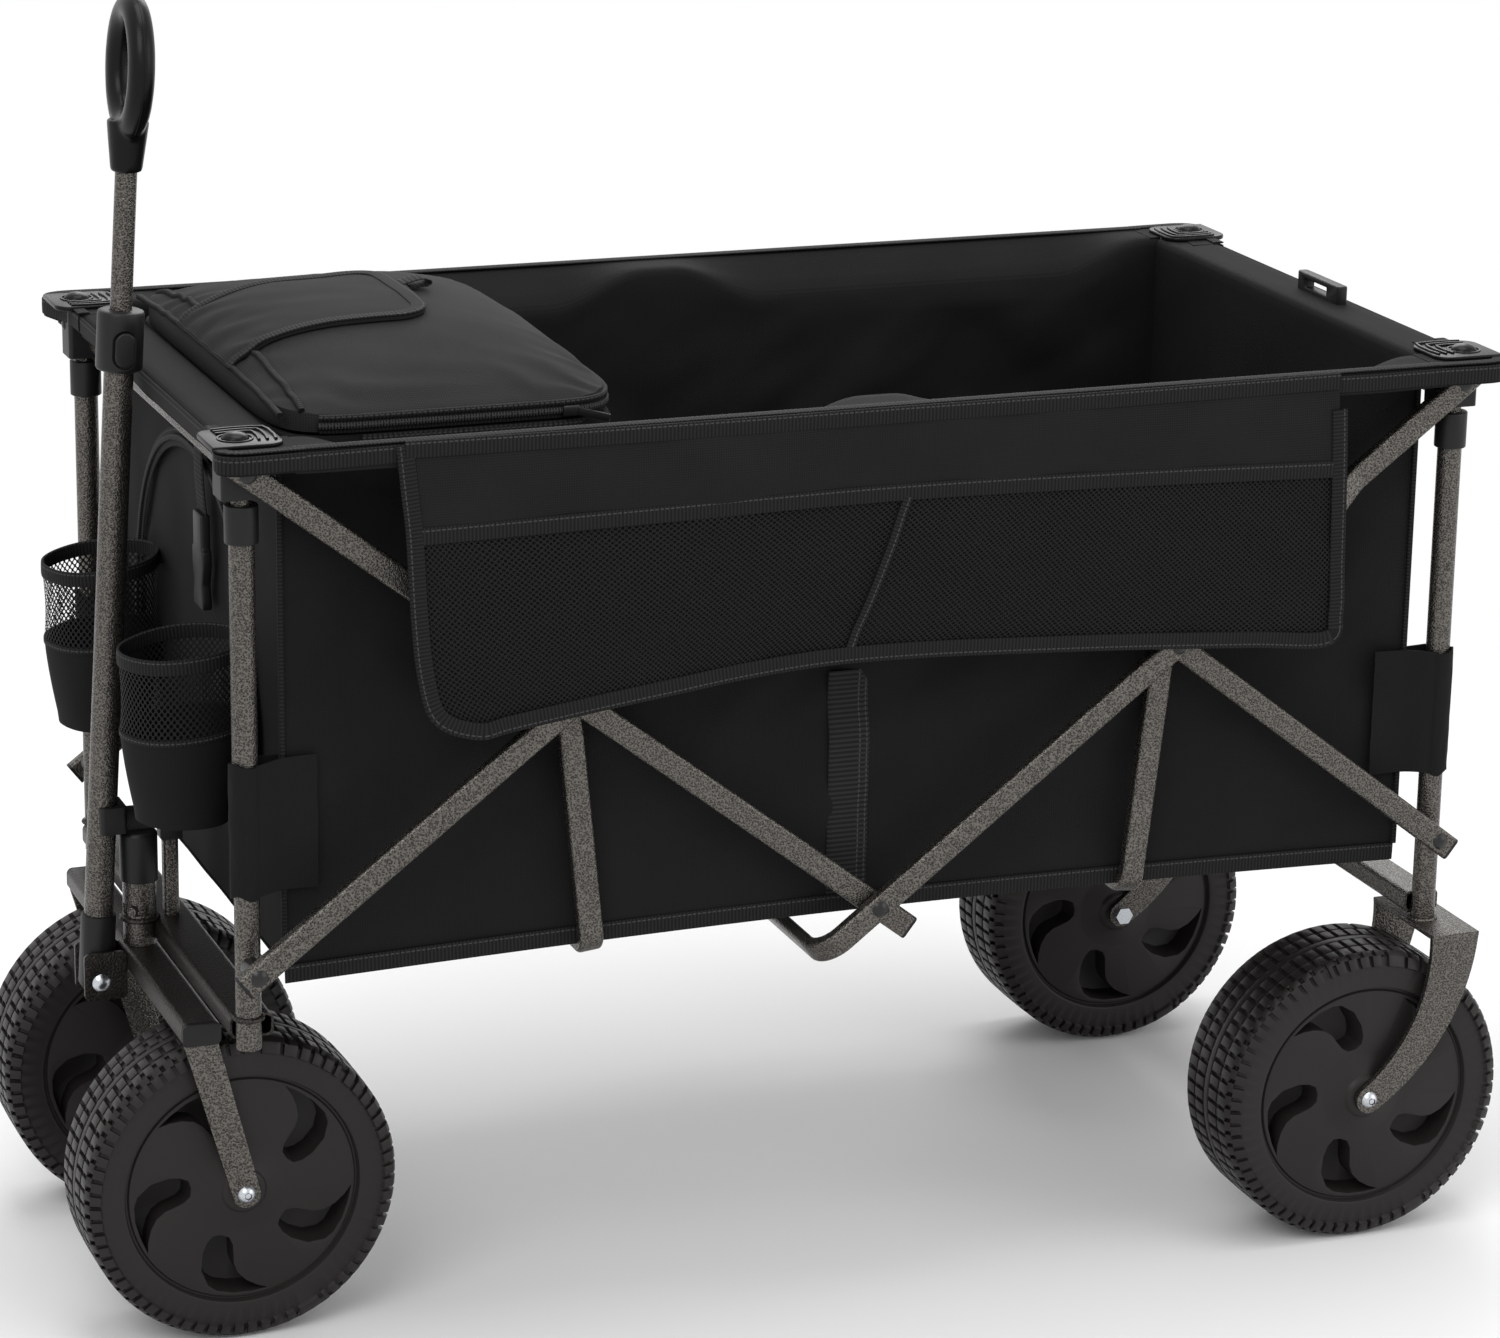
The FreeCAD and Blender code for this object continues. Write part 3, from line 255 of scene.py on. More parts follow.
slotFinish = {"hammertone": steel, "zinc": zinc, "black_plastic": satinPlastic, "gloss_plastic": glossPlastic,
              "rivet_black": rivetPaintAndSocketShade, "wheel_plastic": wheelPlastic, "black_cloth": bagCloth,
              "mesh_cloth": bagCloth, "board": bagCloth}
for entry in record["subparts"]:
    finish = slotFinish[entry["material_slot"]]
    if entry["node"] in ("steering_beam", "front_cross_tube"):
        finish = beamSteel
    piece = nodes[entry["node"]]
    piece.data.materials.clear()
    piece.data.materials.append(finish)


def objectMode():
    if bpy.context.object and bpy.context.object.mode != "OBJECT":
        bpy.ops.object.mode_set(mode="OBJECT")


def choose(*pieces):
    objectMode()
    bpy.ops.object.select_all(action="DESELECT")
    for piece in pieces:
        piece.select_set(True)
    bpy.context.view_layer.objects.active = pieces[0]


def startFrom(name):
    # the primitive just added becomes a named piece with its place in its mesh
    piece = bpy.context.object
    piece.name = piece.data.name = name
    bpy.ops.object.transform_apply(location=True, rotation=True, scale=True)
    return piece


def pickFaces(piece, test):
    # leaves edit mode on with the faces selected that pass the test of centre and normal
    choose(piece)
    bpy.ops.object.mode_set(mode="EDIT")
    bpy.ops.mesh.select_mode(type="FACE")
    mesh = bmesh.from_edit_mesh(piece.data)
    for face in mesh.faces:
        face.select_set(bool(test(face.calc_center_median(), face.normal)))
    mesh.select_flush_mode()
    bmesh.update_edit_mesh(piece.data)


def addModifier(piece, kind, **settings):
    choose(piece)
    modifier = piece.modifiers.new(kind.title(), kind)
    for key, value in settings.items():
        setattr(modifier, key, value)
    bpy.ops.object.modifier_apply(modifier=modifier.name)


def smooth(piece, angle=35):
    choose(piece)
    bpy.ops.object.shade_smooth_by_angle(angle=math.radians(angle))


def joined(name, pieces):
    choose(*pieces)
    if len(pieces) > 1:
        bpy.ops.object.join()
    pieces[0].name = pieces[0].data.name = name
    return pieces[0]


def copied(piece, name, matrix=None):
    # a copy with its own mesh, moved or mirrored in its mesh
    choose(piece)
    bpy.ops.object.duplicate(linked=False)
    twin = bpy.context.object
    twin.name = twin.data.name = name
    if matrix is not None:
        twin.data.transform(matrix)
        if matrix.determinant() < 0:
            twin.data.flip_normals()
    return twin


def dress(piece, material, body, slot, *replaced):
    piece.data.materials.clear()
    piece.data.materials.append(material)
    if replaced:
        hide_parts(*replaced)
    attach(piece, body)
    return piece


def sheetOf(name, rows, closed=False):
    # a grid whose rows run along the piece; its map is in metres
    wide, tall = len(rows), len(rows[0])
    bpy.ops.mesh.primitive_grid_add(x_subdivisions=wide - 1, y_subdivisions=tall - 1, size=1)
    piece = startFrom(name)
    count = len(piece.data.vertices) // tall
    along, across = [0.0], [0.0]
    for before, after in zip(rows, rows[1:]):
        along.append(along[-1] + (after[tall // 2] - before[tall // 2]).length)
    for before, after in zip(rows[wide // 2], rows[wide // 2][1:]):
        across.append(across[-1] + (after - before).length)
    for index, vertex in enumerate(piece.data.vertices):
        vertex.co = rows[index % count][index // count]
    chart = piece.data.uv_layers.active.data
    for loop in piece.data.loops:
        chart[loop.index].uv = (along[loop.vertex_index % count], across[loop.vertex_index // count])
    if closed:
        bpy.ops.object.mode_set(mode="EDIT")
        bpy.ops.mesh.select_mode(type="VERT")
        bpy.ops.mesh.select_all(action="SELECT")
        bpy.ops.mesh.remove_doubles(threshold=0.00002)
        bpy.ops.mesh.select_all(action="DESELECT")
        bpy.ops.mesh.select_non_manifold()
        bpy.ops.mesh.fill_holes(sides=0)
        bpy.ops.mesh.select_all(action="SELECT")
        bpy.ops.mesh.normals_make_consistent(inside=False)
        bpy.ops.object.mode_set(mode="OBJECT")
    return piece


def swept(name, path, sideways, wide, thick, material=None):
    # a flat tape with rounded edges along a path; sideways gives its width's direction
    section = []
    for turn in range(13):
        angle = math.tau * turn / 12
        c, s = math.cos(angle), math.sin(angle)
        section.append((math.copysign(abs(c) ** 0.45, c) * wide / 2, math.copysign(abs(s) ** 0.45, s) * thick / 2))
    rows = []
    for index, point in enumerate(path):
        ahead = path[min(index + 1, len(path) - 1)] - path[max(index - 1, 0)]
        flat = sideways(index) if callable(sideways) else Vector(sideways)
        flat = (flat - ahead.normalized() * flat.dot(ahead.normalized())).normalized()
        up = ahead.normalized().cross(flat)
        rows.append([point + flat * a + up * b for a, b in section])
    piece = sheetOf(name, rows, closed=True)
    smooth(piece, 50)
    return piece


def lathed(name, profile, centre, axis, steps, arc=math.tau):
    # spins a profile of (radius, height) about an axis through centre
    axis = Vector(axis).normalized()
    out = axis.orthogonal().normalized()
    points = [Vector(centre) + out * r + axis * h for r, h in profile]
    bpy.ops.mesh.primitive_plane_add(size=0.001, location=points[0])
    piece = bpy.context.object
    piece.name = piece.data.name = name
    bpy.ops.object.transform_apply(location=True)
    bpy.ops.object.mode_set(mode="EDIT")
    bpy.ops.mesh.select_all(action="SELECT")
    bpy.ops.mesh.merge(type="CENTER")
    bpy.ops.mesh.select_mode(type="VERT")
    for before, after in zip(points, points[1:]):
        bpy.ops.mesh.extrude_region_move(TRANSFORM_OT_translate={"value": after - before})
    bpy.ops.mesh.select_all(action="SELECT")
    bpy.ops.mesh.spin(steps=steps, angle=arc, center=centre, axis=axis)
    bpy.ops.mesh.select_all(action="SELECT")
    bpy.ops.mesh.remove_doubles(threshold=0.00002)
    bpy.ops.mesh.normals_make_consistent(inside=False)
    bpy.ops.object.mode_set(mode="OBJECT")
    return piece


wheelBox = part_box("front_wheel_near")
wheelPlan = {
    "radius": (wheelBox[1].z - wheelBox[0].z) / 2, "half": 33.5 * mm, "hubHalf": 37.5 * mm,
    "lugs": 68, "lugHeight": 2.9 * mm, "floorRadius": 99.3 * mm, "ribHalf": 2.6 * mm, "ribHeight": 2.6 * mm,
    "rowInner": 4.4 * mm, "linkInner": 15.5 * mm, "linkOuter": 17.5 * mm, "linkHeight": 1.5 * mm,
    "shoulder": 28.5 * mm, "sideRadius": 92.0 * mm, "groove": 76 * mm,
    "pocketDepth": 21 * mm, "pockets": 5, "bolt": 4.2 * mm,
}


def wheelProfile(plan):
    # from the bore out over one face to the tread's middle, then mirrored
    half, hub = plan["half"], plan["hubHalf"]
    side = [(plan["bolt"], hub), (12 * mm, hub), (13.5 * mm, hub - 0.8 * mm), (15 * mm, hub - 3 * mm),
            (22 * mm, half - 1.2 * mm), (28 * mm, half - 2.6 * mm), (30 * mm, half - 2.9 * mm),
            (plan["groove"] - 2.2 * mm, half - 2.6 * mm), (plan["groove"] - 1.2 * mm, half - 4.2 * mm),
            (plan["groove"], half - 4.2 * mm), (plan["groove"] + 1.2 * mm, half - 0.4 * mm),
            (plan["groove"] + 3 * mm, half), (plan["sideRadius"], half),
            (plan["floorRadius"] - 1.5 * mm, plan["shoulder"] + 2.2 * mm), (plan["floorRadius"], plan["shoulder"] - 1 * mm),
            (plan["floorRadius"] + 0.1 * mm, plan["linkOuter"]), (plan["floorRadius"] + 0.2 * mm, plan["linkInner"]),
            (plan["floorRadius"] + 0.3 * mm, plan["rowInner"]), (plan["floorRadius"] + 0.3 * mm, plan["ribHalf"])]
    return side + [(r, -h) for r, h in reversed(side)]


def pocketCutter(plan, centre):
    # five swirl recesses on each side, each a curved petal drawn about the hub
    outline = ((73, 67), (72.4, 58), (72.2, 48), (71.4, 39), (69, 33.5), (61, 26), (50, 20.5), (42, 18.5), (36, 20),
               (33.2, 28), (33.6, 38), (38, 43.5), (45, 45.6), (51.5, 46.8), (58, 50), (64, 55.5), (69, 61.5))
    cutters = []
    for side in (-1, 1):
        for number in range(plan["pockets"]):
            corners = []
            for radius, angle in outline:
                turn = math.radians(angle + 72 * number)
                corners.append(Vector((radius * mm * math.cos(turn), 0, radius * mm * math.sin(turn))))
            bpy.ops.mesh.primitive_circle_add(vertices=len(corners), radius=1, fill_type="NGON")
            cutter = startFrom("pocket_cutter")
            for vertex, corner in zip(cutter.data.vertices, corners):
                vertex.co = centre + corner + Vector((0, side * (plan["half"] + 2 * mm), 0))
            bpy.ops.object.mode_set(mode="EDIT")
            bpy.ops.mesh.select_all(action="SELECT")
            middle = centre + Vector((54 * mm * math.cos(math.radians(51 + 72 * number)), 0,
                                      54 * mm * math.sin(math.radians(51 + 72 * number))))
            bpy.ops.mesh.extrude_region_move(
                TRANSFORM_OT_translate={"value": (0, -side * (plan["pocketDepth"] + 2 * mm), 0)})
            bpy.ops.transform.resize(value=(0.86, 1, 0.86), center_override=middle)
            bpy.ops.mesh.select_all(action="SELECT")
            bpy.ops.mesh.normals_make_consistent(inside=False)
            bpy.ops.object.mode_set(mode="OBJECT")
            cutters.append(cutter)
    return joined("pocket_cutters", cutters)


def buildWheel(name, plan, centre):
    wheel = lathed(name, wheelProfile(plan), centre, (0, 1, 0), plan["lugs"] * 3)
    step = math.tau / (plan["lugs"] * 3)

    def column(point):
        return int(math.atan2(point.z - centre.z, point.x - centre.x) // step)

    def reach(point):
        return math.hypot(point.x - centre.x, point.z - centre.z)
    # lugs: every other column, the two rows half a pitch apart
    for side in (-1, 1):
        pickFaces(wheel, lambda p, n: reach(p) > plan["sideRadius"] + 1 * mm
                  and side * (p.y - centre.y) > plan["rowInner"] and (column(p) + (side > 0)) % 3 < 2
                  and not plan["linkInner"] < abs(p.y - centre.y) < plan["linkOuter"])
        bpy.ops.mesh.extrude_region_shrink_fatten(
            TRANSFORM_OT_shrink_fatten={"value": plan["lugHeight"]})
        bpy.ops.object.mode_set(mode="OBJECT")
    pickFaces(wheel, lambda p, n: reach(p) < plan["floorRadius"] + 1 * mm and abs(n.y) < 0.4
              and plan["linkInner"] < abs(p.y - centre.y) < plan["linkOuter"] and reach(p) > plan["sideRadius"])
    bpy.ops.mesh.extrude_region_shrink_fatten(TRANSFORM_OT_shrink_fatten={"value": plan["linkHeight"]})
    bpy.ops.object.mode_set(mode="OBJECT")
    pickFaces(wheel, lambda p, n: reach(p) > plan["floorRadius"] - 1 * mm and abs(p.y - centre.y) < plan["ribHalf"])
    bpy.ops.mesh.extrude_region_shrink_fatten(TRANSFORM_OT_shrink_fatten={"value": plan["ribHeight"]})
    bpy.ops.object.mode_set(mode="OBJECT")
    cutter = pocketCutter(plan, centre)
    addModifier(wheel, "BOOLEAN", operation="DIFFERENCE", object=cutter, solver="EXACT")
    bpy.data.objects.remove(cutter, do_unlink=True)
    addModifier(wheel, "BEVEL", width=0.9 * mm, segments=2, limit_method="ANGLE", angle_limit=math.radians(32),
                harden_normals=False, use_clamp_overlap=True)
    smooth(wheel, 40)
    return wheel


frontCentre = (wheelBox[0] + wheelBox[1]) / 2
frontNear = buildWheel("front_near_tyre", wheelPlan, frontCentre)
for name, body in (("front_near_tyre", "front_wheel_near"), ("front_far_tyre", "front_wheel_far"),
                   ("rear_near_tyre", "rear_wheel_near"), ("rear_far_tyre", "rear_wheel_far")):
    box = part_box(body)
    if name == "front_near_tyre":
        tyre = frontNear
    else:
        tyre = copied(frontNear, name, Matrix.Translation((box[0] + box[1]) / 2 - frontCentre))
    dress(tyre, wheelPlastic, body, "wheel_plastic", body)
print("wheels", len(frontNear.data.polygons))


def softened(name, node, body, material, slot, width, angle=38):
    # a merged copy of a frame part whose hard edges get the radius of the real pressing or moulding
    piece = copied(nodes[node], name)
    choose(piece)
    bpy.ops.object.mode_set(mode="EDIT")
    bpy.ops.mesh.select_all(action="SELECT")
    bpy.ops.mesh.remove_doubles(threshold=0.00001)
    bpy.ops.mesh.dissolve_limited(angle_limit=math.radians(1.5))
    bpy.ops.object.mode_set(mode="OBJECT")
    addModifier(piece, "BEVEL", width=width, segments=3, limit_method="ANGLE",
                angle_limit=math.radians(angle), use_clamp_overlap=True)
    smooth(piece, 45)
    return dress(piece, material, body, slot, node)


softPlan = {
    "rear_forks": ("rear_fork_pressings", "rear_frame", steel, "hammertone", 1.5 * mm),
    "front_wheel_arms": ("front_arm_straps", "steering", steel, "hammertone", 0.8 * mm),
    "front_heads": ("front_head_mouldings", "front_top", satinPlastic, "black_plastic", 1.2 * mm),
    "rear_heads": ("rear_head_mouldings", "rear_top", satinPlastic, "black_plastic", 1.2 * mm),
    "handle_keeper": ("keeper_clip", "front_frame", satinPlastic, "black_plastic", 1.0 * mm),
    "kingpin_cap": ("kingpin_dust_cap", "front_frame", satinPlastic, "black_plastic", 1.0 * mm),
    "handle_socket": ("handle_foot", "handle", satinPlastic, "black_plastic", 1.0 * mm),
    "handle_ears": ("handle_lugs", "steering", beamSteel, "hammertone", 0.7 * mm),
    "rim_latch": ("rim_hook", "rear_top", satinPlastic, "black_plastic", 1.0 * mm),
    "beam_end_caps": ("beam_end_plugs", "steering", satinPlastic, "black_plastic", 0.8 * mm),
    "front_leg_collars": ("front_post_collars", "front_frame", satinPlastic, "black_plastic", 0.8 * mm),
    "rear_leg_collars": ("rear_post_collars", "rear_frame", satinPlastic, "black_plastic", 0.8 * mm),
}
for node, (name, body, material, slot, width) in softPlan.items():
    softened(name, node, body, material, slot, width)
print("softened mouldings")



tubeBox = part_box("handle_lower_tube")
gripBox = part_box("handle_grip")
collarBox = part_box("handle_collar")
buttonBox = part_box("collar_button")
handleWay = Vector((math.sin(math.radians(3.4)), 0, math.cos(math.radians(3.4))))
gripPlan = {"wide": 78 * mm, "tall": 92 * mm, "limb": 19 * mm, "deep": 17 * mm, "neck": 10 * mm, "voxel": 1.3 * mm}


def buildGrip(plan):
    centre = Vector(((gripBox[0].x + gripBox[1].x) / 2 + 1.5 * mm, 0, gripBox[1].z - plan["tall"] / 2))
    middle = centre + Vector((0, 0, 0))
    bpy.ops.mesh.primitive_torus_add(major_segments=72, minor_segments=28, major_radius=1, minor_radius=0.3)
    grip = bpy.context.object
    wide, tall = (plan["wide"] - plan["limb"]) / 2, (plan["tall"] - plan["limb"]) / 2
    for vertex in grip.data.vertices:
        x, y, z = vertex.co
        reach = math.hypot(x, y)
        turn = math.atan2(y, x)
        out = (reach - 1) / 0.3 * plan["limb"] / 2
        path = Vector((0, math.cos(turn) * wide, math.sin(turn) * tall))
        normal = Vector((0, math.cos(turn) * tall, math.sin(turn) * wide)).normalized()
        vertex.co = middle + path + normal * out + Vector((z / 0.3 * plan["deep"] / 2, 0, 0))
    foot = gripBox[0].z + 0.4 * mm
    reachUp = middle.z - tall + 3 * mm
    bpy.ops.mesh.primitive_cylinder_add(vertices=40, radius=plan["neck"], depth=reachUp - foot,
                                        location=(middle.x, 0, (reachUp + foot) / 2))
    neck = startFrom("grip_neck")
    pickFaces(neck, lambda p, n: n.z > 0.9)
    bpy.ops.transform.resize(value=(1.35, 1.35, 1), center_override=(middle.x, 0, reachUp))
    bpy.ops.object.mode_set(mode="OBJECT")
    grip = joined("grip_ring", [grip, neck])
    lean = Quaternion((0, 1, 0), math.radians(3.4)).to_matrix().to_4x4()
    grip.data.transform(Matrix.Translation(middle) @ lean @ Matrix.Translation(-middle))
    choose(grip)
    bpy.ops.object.mode_set(mode="EDIT")
    bpy.ops.mesh.select_all(action="SELECT")
    bpy.ops.mesh.normals_make_consistent(inside=False)
    bpy.ops.object.mode_set(mode="OBJECT")
    addModifier(grip, "REMESH", mode="VOXEL", voxel_size=plan["voxel"])
    addModifier(grip, "SMOOTH", factor=0.5, iterations=10)
    smooth(grip, 60)
    dress(grip, glossPlastic, "handle_upper", "gloss_plastic", "handle_grip")
    # the mould's parting line runs round the ring's middle
    seam = []
    for number in range(97):
        turn = math.tau * number / 96
        spot = Vector((0, math.cos(turn) * (wide + plan["limb"] / 2 - 0.1 * mm),
                       math.sin(turn) * (tall + plan["limb"] / 2 - 0.1 * mm)))
        seam.append(middle + lean.to_3x3() @ spot)
    line = swept("grip_parting_line", seam, (1, 0, 0), 0.7 * mm, 0.5 * mm)
    dress(line, glossPlastic, "handle_upper", "gloss_plastic")


def buildCollar():
    centre = (collarBox[0] + collarBox[1]) / 2
    tall = collarBox[1].z - collarBox[0].z - 1.6 * mm
    r = 15 * mm
    start = centre - handleWay * tall / 2
    collar = lathed("clamp_collar", [(7.15 * mm, tall), (8.0 * mm, tall - 0.6 * mm), (12.6 * mm, tall), (14.4 * mm, tall - 0.8 * mm),
                                     (r, tall - 2.6 * mm), (r, 2.2 * mm), (r - 1.0 * mm, 0.6 * mm), (r - 2.4 * mm, 0),
                                     (9.7 * mm, 0), (9.7 * mm, 8 * mm), (7.15 * mm, 9 * mm), (7.15 * mm, tall)],
                    start, handleWay, 64)
    spot = Vector(((buttonBox[0].x + buttonBox[1].x) / 2, 0, (buttonBox[0].z + buttonBox[1].z) / 2))

    def oval(name, wide, tall, depth, y0):
        bpy.ops.mesh.primitive_cylinder_add(vertices=48, radius=wide / 2, depth=depth, rotation=(math.pi / 2, 0, 0),
                                            location=(spot.x, y0 - depth / 2, spot.z))
        pad = startFrom(name)
        for vertex in pad.data.vertices:
            vertex.co.z += math.copysign((tall - wide) / 2, vertex.co.z - spot.z)
        pad.data.transform(Matrix.Translation(spot) @ Quaternion((0, 1, 0), math.radians(3.4)).to_matrix().to_4x4()
                           @ Matrix.Translation(-spot))
        return pad
    cutter = oval("button_well", 15.4 * mm, 25 * mm, 5 * mm, -12.3 * mm)
    addModifier(collar, "BOOLEAN", operation="DIFFERENCE", object=cutter, solver="EXACT")
    bpy.data.objects.remove(cutter, do_unlink=True)
    addModifier(collar, "BEVEL", width=0.5 * mm, segments=2, limit_method="ANGLE", angle_limit=math.radians(40))
    smooth(collar, 40)
    dress(collar, satinPlastic, "handle", "black_plastic", "handle_collar")
    button = oval("clamp_button", 12.6 * mm, 22 * mm, 3.4 * mm, -12.6 * mm)
    addModifier(button, "BEVEL", width=1.1 * mm, segments=4, limit_method="ANGLE", angle_limit=math.radians(40))
    smooth(button, 50)
    dress(button, satinPlastic, "collar_button", "black_plastic", "collar_button")


buildGrip(gripPlan)
buildCollar()
print("handle")



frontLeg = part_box("front_legs")
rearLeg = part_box("rear_legs")
frontX = (frontLeg[0].x + frontLeg[1].x) / 2
rearX = (rearLeg[0].x + rearLeg[1].x) / 2
legY = frontLeg[1].y - 8 * mm
midX = (frontX + rearX) / 2
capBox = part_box("front_corner_caps")
capPlan = {"size": 46 * mm, "thick": 3.2 * mm, "dome": 8.5 * mm, "domeHigh": 4.2 * mm, "ribs": 3, "ribStep": 5.2 * mm}


def buildCap(plan, name, x, y, inX, inY):
    # drawn with its dome at the outer corner and its chevrons towards the inside of the rim
    base = capBox[0].z + 1.1 * mm  # the cloth corner lies between the head and the cap
    half = plan["size"] / 2
    bpy.ops.mesh.primitive_cube_add(size=1, location=(0, 0, 0), scale=(plan["size"], plan["size"], plan["thick"]))
    plate = startFrom(name)
    pickFaces(plate, lambda p, n: False)
    bpy.ops.mesh.select_mode(type="EDGE")
    mesh = bmesh.from_edit_mesh(plate.data)
    for edge in mesh.edges:
        a, b = edge.verts
        edge.select_set(abs(a.co.z - b.co.z) > 1 * mm and a.co.x + a.co.y > -half)
    bmesh.update_edit_mesh(plate.data)
    bpy.ops.mesh.bevel(offset=11 * mm, segments=8)
    bpy.ops.object.mode_set(mode="OBJECT")
    addModifier(plate, "BEVEL", width=0.9 * mm, segments=3, limit_method="ANGLE", angle_limit=math.radians(40))
    rise = plan["thick"] / 2
    bpy.ops.mesh.primitive_uv_sphere_add(segments=36, ring_count=18, radius=1, location=(-4 * mm, -4 * mm, rise),
                                         scale=(plan["dome"], plan["dome"], plan["domeHigh"]))
    dome = startFrom("cap_dome")
    parts = [plate, dome]
    for number in range(plan["ribs"]):
        reach = 8.5 * mm + plan["ribStep"] * number
        corner = reach + 1.5 * mm
        path = [Vector((reach, -13 * mm, rise)), Vector((corner, -3 * mm, rise)), Vector((corner, corner * 0.55, rise)),
                Vector((corner * 0.92, corner * 0.92, rise)), Vector((corner * 0.55, corner, rise)),
                Vector((-3 * mm, corner, rise)), Vector((-13 * mm, reach, rise))]
        parts.append(swept("cap_rib", path, (0, 0, 1), 2.6 * mm, 1.9 * mm))
    collarRing = [Vector((-4 * mm + math.cos(a) * 10.6 * mm, -4 * mm + math.sin(a) * 10.6 * mm, rise))
                  for a in [math.tau * n / 32 for n in range(33)]]
    parts.append(swept("cap_ring", collarRing, (0, 0, 1), 1.6 * mm, 1.4 * mm))
    cap = joined(name, parts)
    flip = Matrix.Diagonal((inX, inY, 1, 1))
    cap.data.transform(Matrix.Translation((x, y, base + plan["thick"] / 2)) @ flip)
    if inX * inY < 0:
        cap.data.flip_normals()
    smooth(cap, 40)
    return cap


for end, x, inX, body in (("front", frontX, 1, "front_top"), ("rear", rearX, -1, "rear_top")):
    caps = [buildCap(capPlan, end + "_cap", x, side * legY, inX, -side) for side in (-1, 1)]
    both = joined(end + "_chevron_caps", caps)
    dress(both, glossPlastic, body, "gloss_plastic", end + "_corner_caps")
    screws = []
    for side in (-1, 1):
        for face, z in ((-inX, 593 * mm),):
            bpy.ops.mesh.primitive_uv_sphere_add(segments=24, ring_count=12, radius=1,
                                                 location=(x + face * 14 * mm, side * legY, z),
                                                 scale=(1.6 * mm, 3.6 * mm, 3.6 * mm))
            screws.append(startFrom("head_screw"))
    heads = joined(end + "_head_screws", screws)
    smooth(heads, 60)
    dress(heads, rivetPaintAndSocketShade, body, "rivet_black")
print("corner caps")


def wrinkle(along, up, size, turn, seed):
    # a soft crease that runs along one slanted direction, from -1 to 1
    c, s = math.cos(turn), math.sin(turn)
    return noise.noise(Vector(((along * c + up * s) / (size * 3.5), (up * c - along * s) / size, seed)))


def curveThrough(points, count):
    # a smooth line through a few points, as many steps along as asked
    line = []
    last = len(points) - 1
    for step in range(count + 1):
        place = step / count * last
        number = min(int(place), last - 1)
        t = place - number
        p0, p1, p2, p3 = (points[max(0, min(last, number + k))] for k in (-1, 0, 1, 2))
        line.append((p1 * 2 + (p2 - p0) * t + (p0 * 2 - p1 * 5 + p2 * 4 - p3) * t ** 2
                     + (p1 * 3 - p0 - p2 * 3 + p3) * t ** 3) * 0.5)
    return line


def boxMap(piece):
    # lays the map flat on whichever side each face looks to, in metres
    chart = piece.data.uv_layers.active or piece.data.uv_layers.new()
    for face in piece.data.polygons:
        n = face.normal
        side = max(range(3), key=lambda k: abs(n[k]))
        u, v = ((1, 2), (0, 2), (0, 1))[side]
        for corner in face.loop_indices:
            co = piece.data.vertices[piece.data.loops[corner].vertex_index].co
            chart.data[corner].uv = (co[u], co[v])


def clothOf(name, rows, thick, material, body, slot, *replaced):
    piece = sheetOf(name, rows)
    addModifier(piece, "SOLIDIFY", thickness=thick, offset=0)
    smooth(piece, 60)
    return dress(piece, material, body, slot, *replaced)


def tapeOf(name, path, sideways, body, material=None, wide=11 * mm, thick=1.5 * mm, slot="black_cloth"):
    return dress(swept(name, path, sideways, wide, thick), material or tapeCloth, body, slot)


def ringed(name, centre, rings, power, steps=160):
    # closed rings of a rounded oblong, each with its half sizes and a height or a height function
    rows = []
    for halfX, halfY, height in rings:
        row = []
        for number in range(steps + 1):
            angle = math.tau * number / steps
            c, s = math.cos(angle), math.sin(angle)
            x = math.copysign(abs(c) ** (2 / power), c) * halfX
            y = math.copysign(abs(s) ** (2 / power), s) * halfY
            z = height(centre.x + x, centre.y + y) if callable(height) else height
            row.append(Vector((centre.x + x, centre.y + y, z)))
        rows.append(row)
    piece = sheetOf(name, rows, closed=True)
    boxMap(piece)
    return piece


def crumple(*pieces):
    # each cloth piece gets its own copy of its mesh
    for piece in pieces:
        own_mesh(piece)


# bag sides and floor in one length of cloth, over the bars and down again
bagPlan = {"face": 198.7 * mm, "out": 238 * mm, "rimTop": 606.7 * mm, "drop": 14 * mm, "floor": 268.4 * mm,
           "thick": 1.4 * mm, "sag": 24 * mm, "front": frontX + 24.5 * mm, "rear": rearX - 24.5 * mm, "hem": 264 * mm, "hemRise": 7 * mm}
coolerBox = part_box("cooler_box")


def wallFace(plan, x, z, side):
    # how far the side cloth stands from the middle: mostly taut, with slack that falls inwards
    height = (z - plan["floor"]) / (plan["rimTop"] - plan["floor"])
    ends = min(1, (x - plan["front"]) / (45 * mm), (plan["rear"] - x) / (45 * mm))
    window = max(0, math.sin(math.pi * min(1, max(0, height)))) ** 0.6 * max(0, ends) ** 0.7
    slack = 4.2 + 8.0 * wrinkle(x, z, 62 * mm, 0.9, 3.1 + side) + 6.5 * wrinkle(x, z, 44 * mm, -0.7, 8.4 + side)
    slack += 2.6 * wrinkle(x, z, 21 * mm, 0.5, 21.7 + side)
    most = 8.0 if x < coolerBox[1].x + 20 * mm else 12.0
    return plan["face"] - window * max(-0.8, min(most, slack)) * mm


